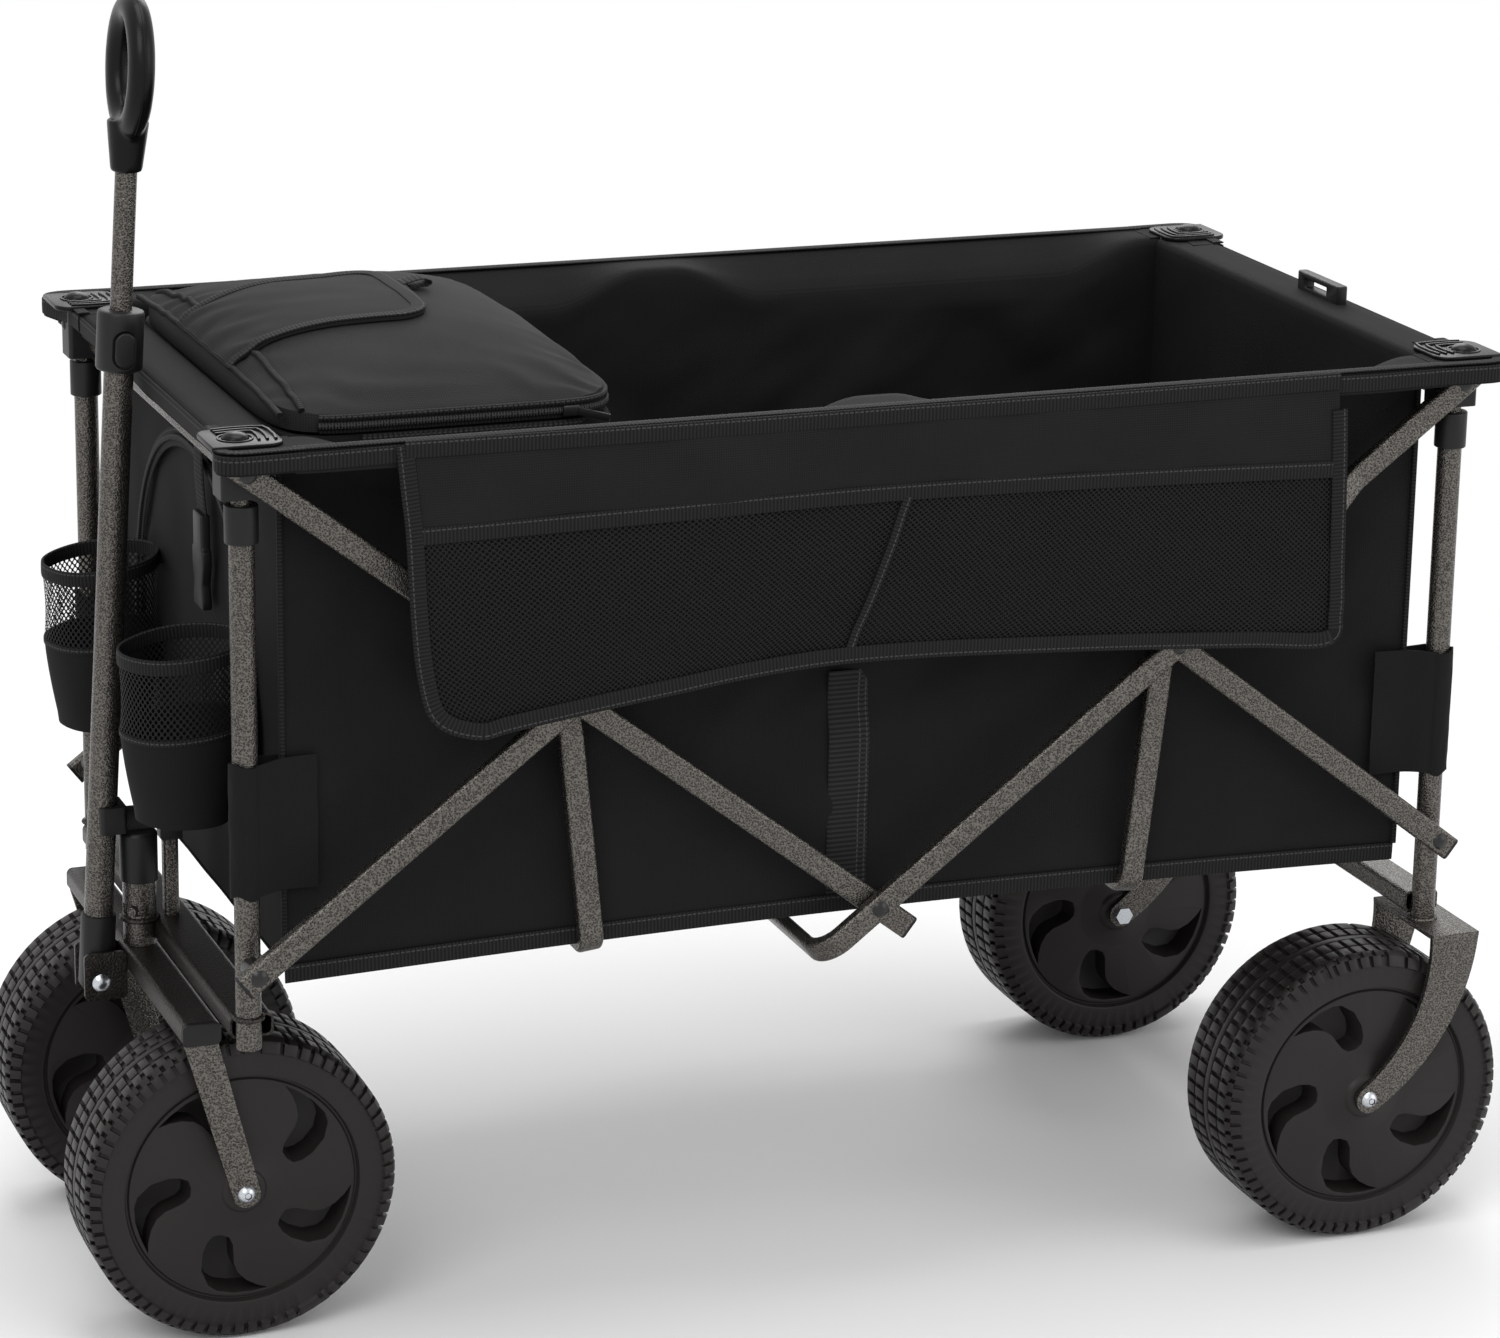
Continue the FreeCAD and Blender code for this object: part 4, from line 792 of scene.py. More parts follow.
def bagSection(plan, x, side):
    edge = plan["rimTop"] - plan["drop"] + 1.8 * mm * noise.noise(Vector((x / (60 * mm), side * 3.0, 0.5)))
    out, top = plan["out"], plan["rimTop"]
    # between the pivots nothing holds the rim's inner side up, so it slopes down into the bag
    free = min(1, max(0, (min(abs(x - midX), x - plan["front"], plan["rear"] - x) - 10 * mm) / (70 * mm)))
    sag = plan["sag"] * free * free * (3 - 2 * free)
    points = [(out, edge), (out + 0.4 * mm, (edge + top) / 2), (out, top - 3 * mm), (out - 1.3 * mm, top - 0.9 * mm),
              (out - 4 * mm, top), (out - 10 * mm, top - 0.5 * mm - sag * 0.07), (out - 18 * mm, top - 0.6 * mm - sag * 0.28),
              (out - 28 * mm, top - 0.5 * mm - sag * 0.6), (plan["face"] + 3 * mm, top - 0.6 * mm - sag * 0.86),
              (plan["face"] + 0.8 * mm, top - 2 * mm - sag), (plan["face"], top - 5.5 * mm - sag)]
    start = top - 5.5 * mm - sag
    for step in range(1, 47):
        z = start + (plan["floor"] + 4 * mm - start) * step / 47
        points.append((wallFace(plan, x, z, side), z))
    points += [(plan["face"] - 0.4 * mm, plan["floor"] + 2.2 * mm), (plan["face"] - 2.2 * mm, plan["floor"] + 0.5 * mm),
               (plan["face"] - 5.5 * mm, plan["floor"])]
    points += [((plan["face"] - 5.5 * mm) * (1 - step / 14), plan["floor"] - 0.3 * mm * math.sin(step)) for step in range(1, 15)]
    return [Vector((x, side * y, z)) for y, z in points]


def buildBag(plan):
    rows = []
    for step in range(161):
        x = plan["front"] + (plan["rear"] - plan["front"]) * step / 160
        rows.append(bagSection(plan, x, -1) + bagSection(plan, x, 1)[-2::-1])
    bag = clothOf("bag_sides_and_floor", rows, plan["thick"], bagCloth, "front_top", "black_cloth", "bag_body")
    crumple(bag)
    trims = []
    along = [plan["front"] + (plan["rear"] - plan["front"]) * step / 90 for step in range(91)]
    for side, name in ((-1, "near"), (1, "far")):
        rim = [Vector((x, side * (plan["out"] + 0.9 * mm), plan["rimTop"] - 6.2 * mm
                       + 0.8 * mm * noise.noise(Vector((x / (55 * mm), side, 2.0))))) for x in along]
        trims.append(tapeOf(name + "_rim_binding", rim, (0, 0, 1), "front_top", thick=2.2 * mm))
        roll = [Vector((x, side * (plan["out"] - 4.5 * mm), plan["rimTop"] + 1.1 * mm)) for x in along]
        trims.append(tapeOf(name + "_rim_fold", roll, (0, 1, 0), "front_top", wide=9 * mm, thick=1.3 * mm))
        hem = []
        for x in along:
            wave = math.cos(math.pi * (x - midX) / (plan["rear"] - plan["front"]))
            hem.append(Vector((x, side * (plan["face"] + 1.0 * mm), plan["hem"] + plan["hemRise"] * wave)))
        trims.append(tapeOf(name + "_hem_binding", hem, (0, 0, 1), "front_top", wide=12 * mm, thick=1.7 * mm))
        strap = [Vector((midX - 11 * mm + (9 * mm if z < 300 * mm else 0) * 0, side * (wallFace(plan, midX - 11 * mm, z, side) + 1.3 * mm), z))
                 for z in [plan["floor"] + 8 * mm + 150 * mm * step / 24 for step in range(25)]]
        trims.append(tapeOf(name + "_side_strap", strap, (1, 0, 0), "front_top", webbing, 28 * mm, 1.6 * mm))
    crumple(*trims)


buildBag(bagPlan)
print("bag sides")


# end walls, each with its rim over the top tube, bound corners and sleeves round the legs
wallPlan = {"face": 25.8 * mm, "half": 198.2 * mm, "over": 10 * mm, "drop": 13 * mm, "thick": 1.4 * mm, "sleeveLow": 320 * mm,
            "sleeveHigh": 405 * mm, "sleeveRadius": 9.9 * mm}


def endWall(plan, name, legX, inward, body, node):
    # inward is +1 at the front and -1 at the rear
    top = bagPlan["rimTop"] - 0.5 * mm
    face, over = plan["face"], -plan["over"]
    rows = []
    for step in range(81):
        y = plan["half"] * (2 * step / 80 - 1)
        rim = min(1, max(0, (176 * mm - abs(y)) / (8 * mm)))
        bottom = top - plan["drop"] + 1.5 * mm * noise.noise(Vector((y / (45 * mm), inward, 4.0)))
        path = [(over * rim, top - (top - bottom) * rim), (over * rim, top - 5 * mm * rim), (over * rim + 0.8 * mm, top - 1.5 * mm * rim),
                (over * rim + 3.5 * mm, top), (0, top), (face * 0.5, top - 0.3 * mm), (face - 4 * mm, top - 0.4 * mm),
                (face - 1 * mm, top - 1.4 * mm), (face, top - 5 * mm)]
        for down in range(1, 49):
            z = top - 5 * mm + (bagPlan["floor"] + 1.5 * mm - top + 5 * mm) * down / 48
            window = math.sin(math.pi * down / 48) ** 0.7 * min(1, (plan["half"] - abs(y)) / (35 * mm)) ** 0.7
            slack = 2.0 + 3.0 * wrinkle(y, z, 60 * mm, 0.8 * inward, 12.2) + 2.2 * wrinkle(y, z, 38 * mm, -0.6, 17.9)
            path.append((face - window * max(0, min(5, slack)) * mm, z))
        rows.append([Vector((legX + inward * x, y, z)) for x, z in path])
    wall = clothOf(name + "_wall", rows, plan["thick"], bagCloth, body, "black_cloth", node)
    trims = []
    edge = [Vector((legX + inward * (over - 0.8 * mm), y, top - 6 * mm))
            for y in [168 * mm * (step / 20 - 1) for step in range(41)]]
    trims.append(tapeOf(name + "_rim_edge", edge, (0, 0, 1), body, thick=2.0 * mm))
    for side in (-1, 1):
        tag = name + ("_near" if side < 0 else "_far")
        outer = [Vector((legX + inward * x * mm, side * y * mm, 0)) for x, y in
                 ((30, 238.2), (6, 239.4), (-9, 239.6), (-18, 236), (-21, 228), (-17.5, 214), (-13, 198), (-11, 182), (-10.6, 166))]
        inner = [Vector((legX + inward * x * mm, side * y * mm, 0)) for x, y in
                 ((30, 200), (20, 200), (12, 200), (8, 200), (6, 199), (6, 196), (7, 192), (9, 184), (12, 166))]
        outLine, inLine = curveThrough(outer, 36), curveThrough(inner, 36)
        patch = []
        for a, b in zip(inLine, outLine):
            strip = [a.lerp(b, t) + Vector((0, 0, top + 0.4 * mm)) for t in (0, 0.3, 0.6, 0.85)]
            strip += [b + Vector((0, 0, top - d * mm)) for d in (0.8, 4, 8, 12)]
            patch.append(strip)
        corner = clothOf(tag + "_rim_corner", patch, 1.1 * mm, bagCloth, body, "black_cloth")
        band = [point + (point - inLine[number]).normalized() * 0.9 * mm + Vector((0, 0, top - 5.4 * mm))
                for number, point in enumerate(outLine)]
        trims += [corner, tapeOf(tag + "_corner_binding", band, (0, 0, 1), body, thick=2.2 * mm)]
        lip = [point.lerp(inLine[number], 0.1) + Vector((0, 0, top + 1.6 * mm)) for number, point in enumerate(outLine)]
        trims.append(tapeOf(tag + "_corner_fold", lip, lambda k: outLine[k] - inLine[k], body, wide=8 * mm, thick=1.3 * mm))
        seam = [Vector((legX + inward * 24.2 * mm, side * 200.2 * mm, z * mm)) for z in range(270, 604, 12)]
        trims.append(tapeOf(tag + "_corner_piping", seam, (1, 0, 0), body, wide=3.4 * mm, thick=3.4 * mm))
        # the sleeve leaves the bag's corner, runs round the leg and comes back to the wall
        centre = Vector((legX, side * legY, 0))
        loop = [Vector((legX + inward * 46 * mm, side * 201 * mm, 0)), Vector((legX + inward * 26 * mm, side * 203.4 * mm, 0)),
                Vector((legX + inward * 13 * mm, side * 208.6 * mm, 0))]
        for number in range(15):
            angle = math.radians(50 + 225 * number / 14)
            loop.append(centre + Vector((inward * math.cos(angle) * plan["sleeveRadius"],
                                         side * math.sin(angle) * plan["sleeveRadius"], 0)))
        loop.append(Vector((legX + inward * 15 * mm, side * 195.5 * mm, 0)))
        loop.append(Vector((legX + inward * 23 * mm, side * 195.8 * mm, 0)))
        line = curveThrough(loop, 60)
        sleeve = []
        for number, point in enumerate(line):
            low = plan["sleeveLow"] + 1.5 * mm * math.sin(number * 0.3)
            high = plan["sleeveHigh"] + 1.2 * mm * math.sin(number * 0.23 + 1)
            strip = []
            for level in range(19):
                z = low + (high - low) * level / 18
                loose = 0.5 * mm * noise.noise(Vector((number * 0.2, level * 0.35, side * 5.0 + inward)))
                strip.append(point + (point - centre).normalized() * loose + Vector((0, 0, z)))
            sleeve.append(strip)
        sleeve = clothOf(tag + "_leg_sleeve", sleeve, 1.1 * mm, bagCloth, body, "black_cloth")
    return wall


endWall(wallPlan, "front", frontX, 1, "front_top", "bag_front_wall")
endWall(wallPlan, "rear", rearX, -1, "rear_top", "bag_rear_wall")


def frontTrim():
    # an arched zip on the front wall, and a webbing tab that ends in a side release buckle
    x = frontX + 20.6 * mm
    arch = [Vector((x, 150 * mm * math.cos(math.pi * t / 40), 330 * mm + 226 * mm * math.sin(math.pi * t / 40) ** 0.55))
            for t in range(41)]
    tape = [point - Vector((0.2 * mm, 0, 0)) for point in arch]
    tapeOf("front_zip_tape", tape, lambda k: Vector((0, arch[k].y, arch[k].z - 330 * mm + 1 * mm)), "front_top",
           wide=13 * mm, thick=1.0 * mm)
    coil = [point - Vector((1.4 * mm, 0, 0)) for point in arch]
    tapeOf("front_zip_coil", coil, lambda k: Vector((0, arch[k].y, arch[k].z - 330 * mm + 1 * mm)), "front_top",
           zipCoil, 4.2 * mm, 2.4 * mm)
    strap = [Vector((x - 4 * mm - 2 * mm * math.sin(t * 0.3), -44 * mm, 590 * mm - t * 6.5 * mm)) for t in range(12)]
    tapeOf("front_buckle_strap", strap, (0, 1, 0), "front_top", webbing, 20 * mm, 1.8 * mm)
    outline = ((-10, 30), (-10, 8), (-13, 6), (-13, -4), (-9, -16), (-11.5, -26), (-11.5, -32), (11.5, -32), (11.5, -26),
               (9, -16), (13, -4), (13, 6), (10, 8), (10, 30))
    bpy.ops.mesh.primitive_circle_add(vertices=len(outline), radius=1, fill_type="NGON")
    buckle = startFrom("front_buckle")
    for vertex, (y, z) in zip(buckle.data.vertices, outline):
        vertex.co = (x - 8 * mm, -44 * mm + y * mm, 492 * mm + z * mm)
    bpy.ops.object.mode_set(mode="EDIT")
    bpy.ops.mesh.select_all(action="SELECT")
    bpy.ops.mesh.extrude_region_move(TRANSFORM_OT_translate={"value": (6.5 * mm, 0, 0)})
    bpy.ops.mesh.select_all(action="SELECT")
    bpy.ops.mesh.normals_make_consistent(inside=False)
    bpy.ops.object.mode_set(mode="OBJECT")
    addModifier(buckle, "BEVEL", width=1.4 * mm, segments=3, limit_method="ANGLE", angle_limit=math.radians(25))
    smooth(buckle, 50)
    dress(buckle, satinPlastic, "front_top", "black_plastic")


frontTrim()
print("end walls")


# hanging pocket: a cloth band over mesh, bound all round and sewn down the middle
pocketPlan = {"y": -240.4 * mm, "top": 605.5 * mm, "bellyBand": 2.5 * mm, "bellyMesh": 5.5 * mm}
pocketOutline = {
    "top": ((-297, 606), (-150, 605), (20, 605), (180, 605), (328, 606)),
    "middle": ((-291, 549), (-150, 551), (20, 553), (180, 550), (331, 545)),
    "bottom": ((-266, 421), (-150, 437), (-19, 450), (150, 444), (334, 431)),
}


def pocketPoint(plan, u, v):
    # u from left to right; v from 0 at the top through 1 at the mesh's top to 2 at the bottom
    line = {key: curveThrough([Vector((x * mm, 0, z * mm)) for x, z in points], 60)
            for key, points in pocketOutline.items()} if "line" not in plan else plan["line"]
    plan["line"] = line
    at = [line[key][int(round(u * 60))] for key in ("top", "middle", "bottom")]
    point = at[0].lerp(at[1], v) if v <= 1 else at[1].lerp(at[2], v - 1)
    if v > 1:
        # the lower left corner is rounded
        corner = max(0, 1 - u * 60 / 5)
        point = point + Vector((-(1 - max(0, v - 1) ** 5) * 25 * mm * corner * (v - 1) ** 1.0 * 0.72, 0, 0))
    belly = plan["bellyBand"] * math.sin(math.pi * min(v, 1)) + plan["bellyMesh"] * math.sin(math.pi * max(0, v - 1))
    belly *= min(1, u * 12, (1 - u) * 12) * abs(math.sin(math.pi * (u + 0.01) * 2)) ** 0.35
    fold = 2.6 * wrinkle(point.x, point.z, 34 * mm, 0.65, 5.0) + 1.6 * wrinkle(point.x, point.z, 22 * mm, -0.5, 9.0)
    return Vector((point.x, plan["y"] - max(-0.8 * mm, belly * 0.8 + fold * mm * min(1, belly / (1.2 * mm))), point.z))


def buildPocket(plan):
    steps = 60
    band = clothOf("pocket_band", [[pocketPoint(plan, i / steps, j / 10) for j in range(11)] for i in range(steps + 1)],
                   1.2 * mm, bandCloth, "front_top", "black_cloth", "near_pocket")
    net = sheetOf("pocket_net", [[pocketPoint(plan, i / steps, 1 + j / 24) for j in range(25)] for i in range(steps + 1)])
    smooth(net, 60)
    dress(net, pocketMesh, "front_top", "mesh_cloth")
    # a cloth back closes the pocket against the bars
    back = []
    for i in range(steps + 1):
        line = [pocketPoint(plan, i / steps, 0.3 + 1.68 * j / 20) for j in range(21)]
        back.append([Vector((point.x, -237.4 * mm + 0.5 * mm * math.sin(i * 0.7 + j * 0.4), point.z)) for j, point in enumerate(line)])
    back = clothOf("pocket_back", back, 0.8 * mm, bagCloth, "front_top", "black_cloth")
    lift = Vector((0, -1.0 * mm, 0))
    trims = []
    trims.append(tapeOf("pocket_top_binding", [pocketPoint(plan, i / steps, 0.04) + lift for i in range(steps + 1)],
                        (0, 0, 1), "front_top", thick=2.4 * mm))
    trims.append(tapeOf("pocket_middle_binding", [pocketPoint(plan, i / steps, 1) + lift for i in range(steps + 1)],
                        (0, 0, 1), "front_top", thick=1.6 * mm))
    left = [pocketPoint(plan, 0, j / 20) for j in range(39)]
    bottom = [pocketPoint(plan, i / steps, 2) for i in range(2, steps + 1)]
    right = [pocketPoint(plan, 1, 2 - j / 20) for j in range(1, 41)]
    ring = curveThrough([left[0], left[10], left[20], left[28], left[34], left[38], bottom[1], bottom[4]]
                        + bottom[10:-3:6] + [bottom[-2], right[2]] + right[8::8], 170)
    middle = Vector((20 * mm, plan["y"], 510 * mm))
    trims.append(tapeOf("pocket_edge_binding", [point + lift for point in ring],
                        lambda k: Vector((0, 1, 0)).cross(ring[min(k + 1, 170)] - ring[max(k - 1, 0)]), "front_top", thick=2.0 * mm))
    seam = [pocketPoint(plan, 0.513, 1 + j / 24) + lift for j in range(25)]
    trims.append(tapeOf("pocket_middle_seam", seam, (1, 0, 0), "front_top", wide=6 * mm, thick=1.2 * mm))
    crumple(band, net, back, *trims)


buildPocket(pocketPlan)
print("pocket")


# cooler: soft sided box under a padded lid
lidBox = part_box("cooler_lid")
lidPlan = {"base": 612.3 * mm, "rise": 33 * mm, "power": 7.5, "clear": 0.6 * mm}
lidCentre = Vector(((lidBox[0].x + lidBox[1].x) / 2, 0, 0))
lidHalfX = (lidBox[1].x - lidBox[0].x) / 2 - lidPlan["clear"]
lidHalfY = (lidBox[1].y - lidBox[0].y) / 2 - lidPlan["clear"]


def lidTop(x, y):
    # a low dome that the zip pulls in all round, with puckers by the seam
    along, across = abs(x - lidCentre.x) / lidHalfX, abs(y) / lidHalfY
    dome = max(0, 1 - across ** 2.2) ** 0.8 * max(0, 1 - along ** 2.9) ** 0.62
    near = math.exp(-(1 - min(1, max(along, across))) * 9)
    pucker = near * (1 - near) * 4 * 1.1 * math.sin((x * 1.0 + y * 1.3) / (7.5 * mm) + 4 * noise.noise(Vector((x * 30, y * 30, 2))))
    soft = 1.1 * wrinkle(x, y, 36 * mm, 1.1, 6.3) + 0.9 * wrinkle(x, y, 26 * mm, -0.4, 2.2)
    return lidPlan["base"] + lidPlan["rise"] * dome + (pucker * min(1, dome * 4) + soft * min(1, dome * 2)) * mm


def lidLine(startAngle, endAngle, out, height, count=150):
    # points along the lid's edge, from one polar angle to another
    line = []
    for step in range(count + 1):
        angle = math.radians(startAngle + (endAngle - startAngle) * step / count)
        c, s = math.cos(angle), math.sin(angle)
        k = (abs(c) ** lidPlan["power"] + abs(s) ** lidPlan["power"]) ** (-1 / lidPlan["power"])
        line.append(lidCentre + Vector((c * k * (lidHalfX + out), s * k * (lidHalfY + out), height)))
    return line


def buildCooler(plan):
    low, high = coolerBox[0].z, coolerBox[1].z - 0.6 * mm
    outX, outY, wall = lidHalfX, lidHalfY, 7 * mm
    rings = [(4 * mm, 4 * mm, low + 0.5 * mm), (outX * 0.6, outY * 0.6, low + 0.5 * mm), (outX - 6 * mm, outY - 6 * mm, low + 0.5 * mm),
             (outX - 1.5 * mm, outY - 1.5 * mm, low + 2 * mm), (outX, outY, low + 7 * mm)]
    for level in range(1, 12):
        sag = 2.2 * mm * math.sin(math.pi * level / 12)
        rings.append((outX - sag, outY - sag, low + 7 * mm + (high - low - 12 * mm) * level / 12))
    rings += [(outX, outY, high - 3 * mm), (outX - 1.5 * mm, outY - 1.5 * mm, high), (outX - wall + 1.5 * mm, outY - wall + 1.5 * mm, high),
              (outX - wall, outY - wall, high - 3 * mm), (outX - wall, outY - wall, low + wall + 4 * mm),
              (outX - wall - 3 * mm, outY - wall - 3 * mm, low + wall), (4 * mm, 4 * mm, low + wall)]
    box = ringed("cooler_body", lidCentre, rings, 11)
    smooth(box, 50)
    dress(box, bagCloth, "front_top", "black_cloth", "cooler_box")
    rib = lidLine(-118, 118, 0.9 * mm, high - 6.5 * mm)
    tapeOf("cooler_ribbed_band", rib, (0, 0, 1), "front_top", webbing, 13 * mm, 1.6 * mm)

    edge = lidBox[0].z + 0.4 * mm
    rings = [(lidHalfX * t, lidHalfY * t, lidTop) for t in
             (0.015, 0.08, 0.15, 0.22, 0.29, 0.36, 0.43, 0.5, 0.56, 0.62, 0.68, 0.73, 0.78, 0.82, 0.86, 0.895, 0.925, 0.95, 0.97, 0.985, 0.995)]
    rings += [(lidHalfX, lidHalfY, plan["base"] - 1.2 * mm), (lidHalfX, lidHalfY, edge + 1 * mm),
              (lidHalfX - 1 * mm, lidHalfY - 1 * mm, edge), (lidHalfX * 0.5, lidHalfY * 0.5, edge), (2 * mm, 3 * mm, edge)]
    lid = ringed("padded_lid", lidCentre, rings, plan["power"], 240)
    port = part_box("cooler_lid")
    bpy.ops.mesh.primitive_cube_add(size=1, location=(lidBox[0].x + 68 * mm, 0, 630 * mm), scale=(96 * mm, 96 * mm, 90 * mm))
    cutter = startFrom("port_cutter")
    choose(cutter)
    addModifier(cutter, "BEVEL", width=14 * mm, segments=6, limit_method="ANGLE", angle_limit=math.radians(40))
    addModifier(lid, "BOOLEAN", operation="DIFFERENCE", object=cutter, solver="EXACT")
    bpy.data.objects.remove(cutter, do_unlink=True)
    boxMap(lid)
    smooth(lid, 50)
    dress(lid, lidCloth, "cooler_lid", "black_cloth", "cooler_lid")
    # piping round the top edge, the zip under it, and two piped seams along the front
    rides = "cooler_lid"
    tapeOf("lid_edge_piping", lidLine(-128, 128, 0.6 * mm, plan["base"] + 0.2 * mm, 220), (0, 0, 1), rides, wide=3.6 * mm, thick=3.6 * mm)
    tapeOf("lid_zip_tape", lidLine(-128, 128, 0.7 * mm, plan["base"] - 5.2 * mm, 220), (0, 0, 1), rides, wide=8.5 * mm, thick=1.3 * mm)
    tapeOf("lid_zip_coil", lidLine(-128, 128, 1.6 * mm, plan["base"] - 4.6 * mm, 220), (0, 0, 1), rides, zipCoil, 3.8 * mm, 2.6 * mm)
    for number, back in enumerate((3.5 * mm, 17 * mm)):
        x = lidBox[0].x + back
        line = [Vector((x, y, lidTop(x, y) + 0.9 * mm)) for y in [178 * mm * (step / 45 - 1) for step in range(91)]]
        tapeOf("lid_front_piping_%d" % (number + 1), line, (1, 0, 0), rides, wide=3.8 * mm, thick=3.4 * mm)
    bpy.ops.mesh.primitive_cube_add(size=1, location=(0, 0, 0), scale=(11 * mm, 3 * mm, 7 * mm))
    slider = startFrom("zip_slider")
    addModifier(slider, "BEVEL", width=1.2 * mm, segments=3)
    tab = swept("zip_pull", [Vector((4 * mm + t * 2.2 * mm, -1.2 * mm - 0.2 * mm * t, -0.6 * mm * t)) for t in range(10)], (0, 0, 1), 5 * mm, 1.4 * mm)
    slider = joined("zip_slider", [slider, tab])
    slider.data.transform(Matrix.Translation((lidCentre.x + 74 * mm, -lidHalfY - 2.6 * mm, plan["base"] - 5 * mm)))
    smooth(slider, 45)
    dress(slider, satinPlastic, rides, "black_plastic")


buildCooler(lidPlan)


# access flap: bound cloth that follows the lid, with a short webbing tab
flapPlan = {"front": 2 * mm, "reach": 134 * mm, "half": 67 * mm, "corner": 26 * mm, "lift": 2.2 * mm, "thick": 2.2 * mm}


def flapHalf(plan, along):
    past = max(0, along - (plan["reach"] - plan["corner"]))
    return plan["half"] - plan["corner"] + math.sqrt(max(0, plan["corner"] ** 2 - past ** 2))


def buildFlap(plan):
    start = lidBox[0].x + plan["front"]
    rows = []
    for step in range(61):
        along = plan["reach"] * (1 - (1 - step / 60) ** 1.5)
        x = start + along
        wide = flapHalf(plan, along)
        rows.append([Vector((x, wide * t, lidTop(x, wide * t) + plan["lift"])) for t in [k / 20 - 1 for k in range(41)]])
    flap = clothOf("access_flap", rows, plan["thick"], lidCloth, "lid_flap", "black_cloth", "lid_flap")
    ring = []
    inset = 4.6 * mm
    side = [(t / 24 * (plan["reach"] - plan["corner"]), plan["half"] - inset) for t in range(25)]
    turn = []
    for t in range(1, 13):
        angle = math.radians(90 - 7.5 * t)
        turn.append((plan["reach"] - plan["corner"] + math.cos(angle) * (plan["corner"] - inset),
                     plan["half"] - plan["corner"] + math.sin(angle) * (plan["corner"] - inset)))
    end = [(plan["reach"] - inset, (plan["half"] - plan["corner"]) * (1 - t / 10)) for t in range(1, 20)]
    outline = side + turn + end + [(a, -b) for a, b in reversed(turn)] + [(a, -b) for a, b in reversed(side)]
    for a, b in outline:
        x = start + a
        ring.append(Vector((x, b, lidTop(x, b) + plan["lift"] + 1.3 * mm)))
    band = tapeOf("flap_binding", ring, lambda k: Vector((0, 0, 1)).cross(ring[min(k + 1, len(ring) - 1)] - ring[max(k - 1, 0)]),
                  "lid_flap", wide=10.5 * mm, thick=1.8 * mm)
    x, y = start + plan["reach"], 14 * mm
    z = lidTop(x, y) + 2.4 * mm
    loop = [Vector((x - 6 * mm, y, z)), Vector((x + 4 * mm, y, z + 2.5 * mm)), Vector((x + 14 * mm, y, z + 4.5 * mm)),
            Vector((x + 20 * mm, y, z + 2.5 * mm)), Vector((x + 17 * mm, y, z - 0.2 * mm)), Vector((x + 6 * mm, y, z - 0.6 * mm))]
    tab = tapeOf("flap_pull_tab", curveThrough(loop, 40), (0, 1, 0), "lid_flap", webbing, 15 * mm, 1.2 * mm)


buildFlap(flapPlan)
print("cooler, lid and flap")


# cup holders: elastic bound rim, open mesh above and a tapered cloth cup below
cupPlan = {"centre": -14.6 * mm, "y": 108 * mm, "top": 457 * mm, "waist": 402 * mm, "base": 342 * mm, "mouth": 38.2 * mm, "foot": 31 * mm}


def buildCups(plan):
    firsts = []
    for side in (-1, 1):
        tag = "near" if side < 0 else "far"
        centre = Vector((frontX + plan["centre"], side * plan["y"], 0))

        def ring(radius, z, flat=0.0, dip=0.0):
            row = []
            for number in range(73):
                angle = math.tau * number / 72
                sag = dip * math.cos(angle)
                wobble = 1 + 0.018 * math.sin(3 * angle + side) + 0.012 * math.sin(5 * angle)
                row.append(centre + Vector((math.cos(angle) * radius * wobble, math.sin(angle) * radius * (1 + flat) * wobble, z + sag)))
            return row
        dip = 3.5 * mm
        upper = [ring(plan["mouth"] - 1.3 * mm * math.sin(math.pi * t / 8), plan["top"] - 8 * mm - (plan["top"] - plan["waist"] - 8 * mm) * t / 8,
                      0.0, dip) for t in range(9)]
        net = sheetOf(tag + "_cup_net", upper)
        smooth(net, 60)
        dress(net, cupMesh, "front_top", "mesh_cloth", *(["cup_holders"] if side < 0 else []))
        lower = []
        for t in range(15):
            share = t / 14
            radius = plan["mouth"] - 0.8 * mm - (plan["mouth"] - plan["foot"]) * share ** 1.4
            lower.append(ring(radius, plan["waist"] + 2 * mm - (plan["waist"] - plan["base"] - 6 * mm) * share, 0.0, dip * (1 - share)))
        lower += [ring(plan["foot"] - 1.5 * mm, plan["base"] + 1.2 * mm), ring(plan["foot"] - 5 * mm, plan["base"] + 0.4 * mm),
                  ring(plan["foot"] * 0.4, plan["base"] + 0.3 * mm), ring(1 * mm, plan["base"] + 0.3 * mm)]
        cup = clothOf(tag + "_cup", lower, 1.3 * mm, bagCloth, "front_top", "black_cloth")
        rim = ring(plan["mouth"], plan["top"] - 5 * mm, 0.0, dip)
        band = tapeOf(tag + "_cup_binding", rim, (0, 0, 1), "front_top", wide=10 * mm, thick=2.0 * mm)
        waist = ring(plan["mouth"] - 0.2 * mm, plan["waist"] + 1 * mm, 0.0, dip)
        hem = tapeOf(tag + "_cup_seam", waist, (0, 0, 1), "front_top", wide=4 * mm, thick=1.4 * mm)


buildCups(cupPlan)
print("cups")


# floor board: four stiffened panels in the bag's own cloth
board = softened("floor_panels", "base_board", "front_top", bagCloth, "board", 2.2 * mm)
boxMap(board)
crumple(board)


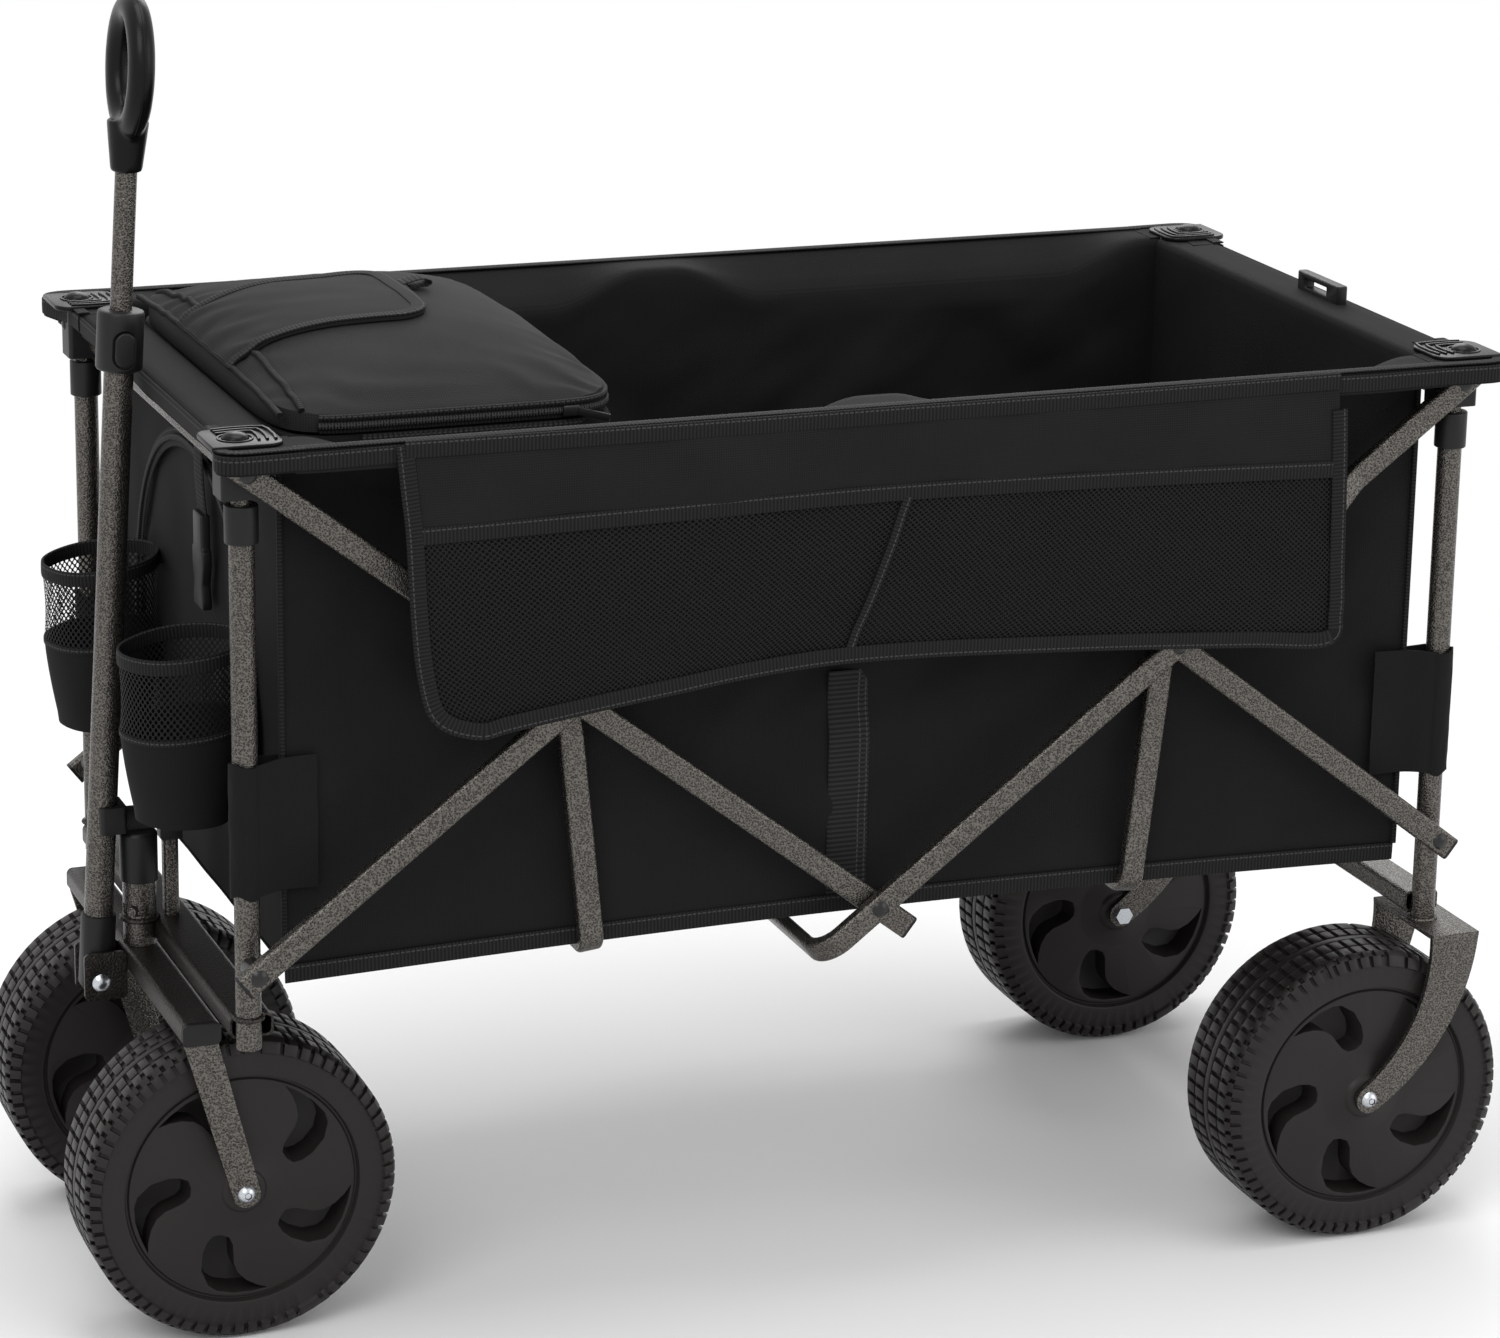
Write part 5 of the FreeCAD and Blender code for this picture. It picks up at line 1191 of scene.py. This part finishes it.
def weldRings():
    # weld beads: a rippled fillet where tubes meet the cross tubes, the forks and the beam
    def bead(centre, axis, radius, thick=1.7 * mm):
        bpy.ops.mesh.primitive_torus_add(major_segments=72, minor_segments=10, major_radius=radius, minor_radius=thick)
        ring = startFrom("weld_bead")
        for vertex in ring.data.vertices:
            turn = math.atan2(vertex.co.y, vertex.co.x)
            vertex.co *= 1 + 0.022 * math.sin(26 * turn) + 0.01 * math.sin(7 * turn)
        ring.data.transform(Matrix.Translation(centre) @ Vector((0, 0, 1)).rotation_difference(Vector(axis)).to_matrix().to_4x4())
        return ring
    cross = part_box("front_cross_tube")
    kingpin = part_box("kingpin_tube")
    middle = (kingpin[0] + kingpin[1]) / 2
    radius = (kingpin[1].x - kingpin[0].x) / 2
    front = [bead(Vector((middle.x, 0, cross[1].z)), (0, 0, 1), radius + 0.6 * mm)]
    front += [bead(Vector((frontX, side * legY, cross[1].z)), (0, 0, 1), 8.4 * mm) for side in (-1, 1)]
    rear = [bead(Vector((rearX, side * legY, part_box("rear_forks")[1].z)), (0, 0, 1), 8.4 * mm) for side in (-1, 1)]
    for name, beads, body, finish in (("front_weld_beads", front, "front_frame", beamSteel), ("rear_weld_beads", rear, "rear_frame", steel)):
        piece = joined(name, beads)
        smooth(piece, 60)
        dress(piece, finish, body, "hammertone")


def boltSockets():
    # the hexagon socket in each axle bolt's domed head, coloured black as painted shade in the recess of the zinc head
    for name, node, body in (("front_bolt_sockets", "front_bolts", "steering"), ("rear_bolt_sockets", "rear_bolts", "rear_frame")):
        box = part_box(node)
        cups = []
        for side, y in ((-1, box[0].y), (1, box[1].y)):
            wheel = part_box(node.split("_")[0] + "_wheel_near")
            centre = (wheel[0] + wheel[1]) / 2
            bpy.ops.mesh.primitive_cylinder_add(vertices=6, radius=2.5 * mm, depth=1.2 * mm, rotation=(math.pi / 2, 0, 0),
                                                location=(centre.x, y - side * 0.2 * mm, centre.z))
            cup = startFrom("bolt_socket")
            pickFaces(cup, lambda p, n: n.y * side > 0.5)
            bpy.ops.mesh.inset(thickness=0.4 * mm, depth=-0.9 * mm)
            bpy.ops.object.mode_set(mode="OBJECT")
            cups.append(cup)
        dress(joined(name, cups), rivetPaintAndSocketShade, body, "rivet_black")


weldRings()
boltSockets()
print("welds and bolts")


def studio():
    scene = bpy.context.scene
    scene.view_settings.view_transform = "Standard"
    world = bpy.data.worlds.new("studio")
    scene.world = world
    world.use_nodes = True
    tree = world.node_tree
    tree.nodes.clear()
    rays = addNode(tree, "ShaderNodeLightPath")
    seen = addNode(tree, "ShaderNodeMath", {"operation": "MAXIMUM"},
                   {0: rays.outputs["Is Camera Ray"], 1: rays.outputs["Is Glossy Ray"]})
    seen = addNode(tree, "ShaderNodeMath", {"operation": "MAXIMUM"},
                   {0: seen.outputs[0], 1: rays.outputs["Is Transmission Ray"]})
    soft = addNode(tree, "ShaderNodeBackground", values={"Color": (1, 1, 1, 1), "Strength": 0.7})
    white = addNode(tree, "ShaderNodeBackground", values={"Color": (1, 1, 1, 1), "Strength": 1.0})
    mixed = addNode(tree, "ShaderNodeMixShader", links={0: seen.outputs[0], 1: soft.outputs[0], 2: white.outputs[0]})
    output = addNode(tree, "ShaderNodeOutputWorld")
    tree.links.new(mixed.outputs[0], output.inputs["Surface"])

    bpy.ops.mesh.primitive_plane_add(size=14, location=(0, 0, -0.5 * mm))
    floor = startFrom("floor")
    material, tree, shader, output, place = newMaterial("pale_floor", "#f2f2f2", 0.9)
    reach = addNode(tree, "ShaderNodeVectorMath", {"operation": "LENGTH"}, {0: place.outputs["Object"]})
    fade = addNode(tree, "ShaderNodeMapRange", {"interpolation_type": "SMOOTHSTEP"},
                   {"Value": reach.outputs["Value"]}, {"From Min": 0.55, "From Max": 1.7})
    glow = addNode(tree, "ShaderNodeEmission", values={"Color": (1, 1, 1, 1), "Strength": 1.0})
    mixed = addNode(tree, "ShaderNodeMixShader", links={0: fade.outputs[0], 1: shader.outputs[0], 2: glow.outputs[0]})
    tree.links.new(mixed.outputs[0], output.inputs["Surface"])
    floor.data.materials.append(material)
    floor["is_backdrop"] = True
    lamps = {
        "key": ((-2.2, -2.6, 3.2), 2.2, 54),
        "fill": ((2.8, -2.4, 1.6), 2.4, 26),
        "rim": ((1.2, 3.0, 2.6), 2.2, 40),
        "top": ((0.0, 0.0, 3.4), 2.0, 44),
    }
    for name, (place, size, power) in lamps.items():
        light = bpy.data.lights.new(name, "AREA")
        light.size, light.energy = size, power
        lamp = bpy.data.objects.new(name, light)
        scene.collection.objects.link(lamp)
        lamp.location = place
        lamp.rotation_mode = "QUATERNION"
        lamp.rotation_quaternion = (Vector((0, 0, 0.35)) - Vector(place)).to_track_quat("-Z", "Y")


def camera():
    plan = {"place": (-1.1006, -2.921, 1.298), "yaw": 20.96, "pitch": -16.515, "roll": 0.92, "lens": 115.5}
    yaw, pitch = math.radians(plan["yaw"]), math.radians(plan["pitch"])
    ahead = Vector((math.sin(yaw) * math.cos(pitch), math.cos(yaw) * math.cos(pitch), math.sin(pitch)))
    eye = bpy.data.objects.new("camera", bpy.data.cameras.new("camera"))
    bpy.context.scene.collection.objects.link(eye)
    eye.data.lens = plan["lens"]
    eye.location = plan["place"]
    eye.rotation_mode = "QUATERNION"
    turn = Quaternion((0, 0, 1), math.radians(plan["roll"]))
    eye.rotation_quaternion = ahead.to_track_quat("-Z", "Y") @ turn
    bpy.context.scene.camera = eye


studio()
camera()
print("studio and camera")
objectMode()
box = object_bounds()
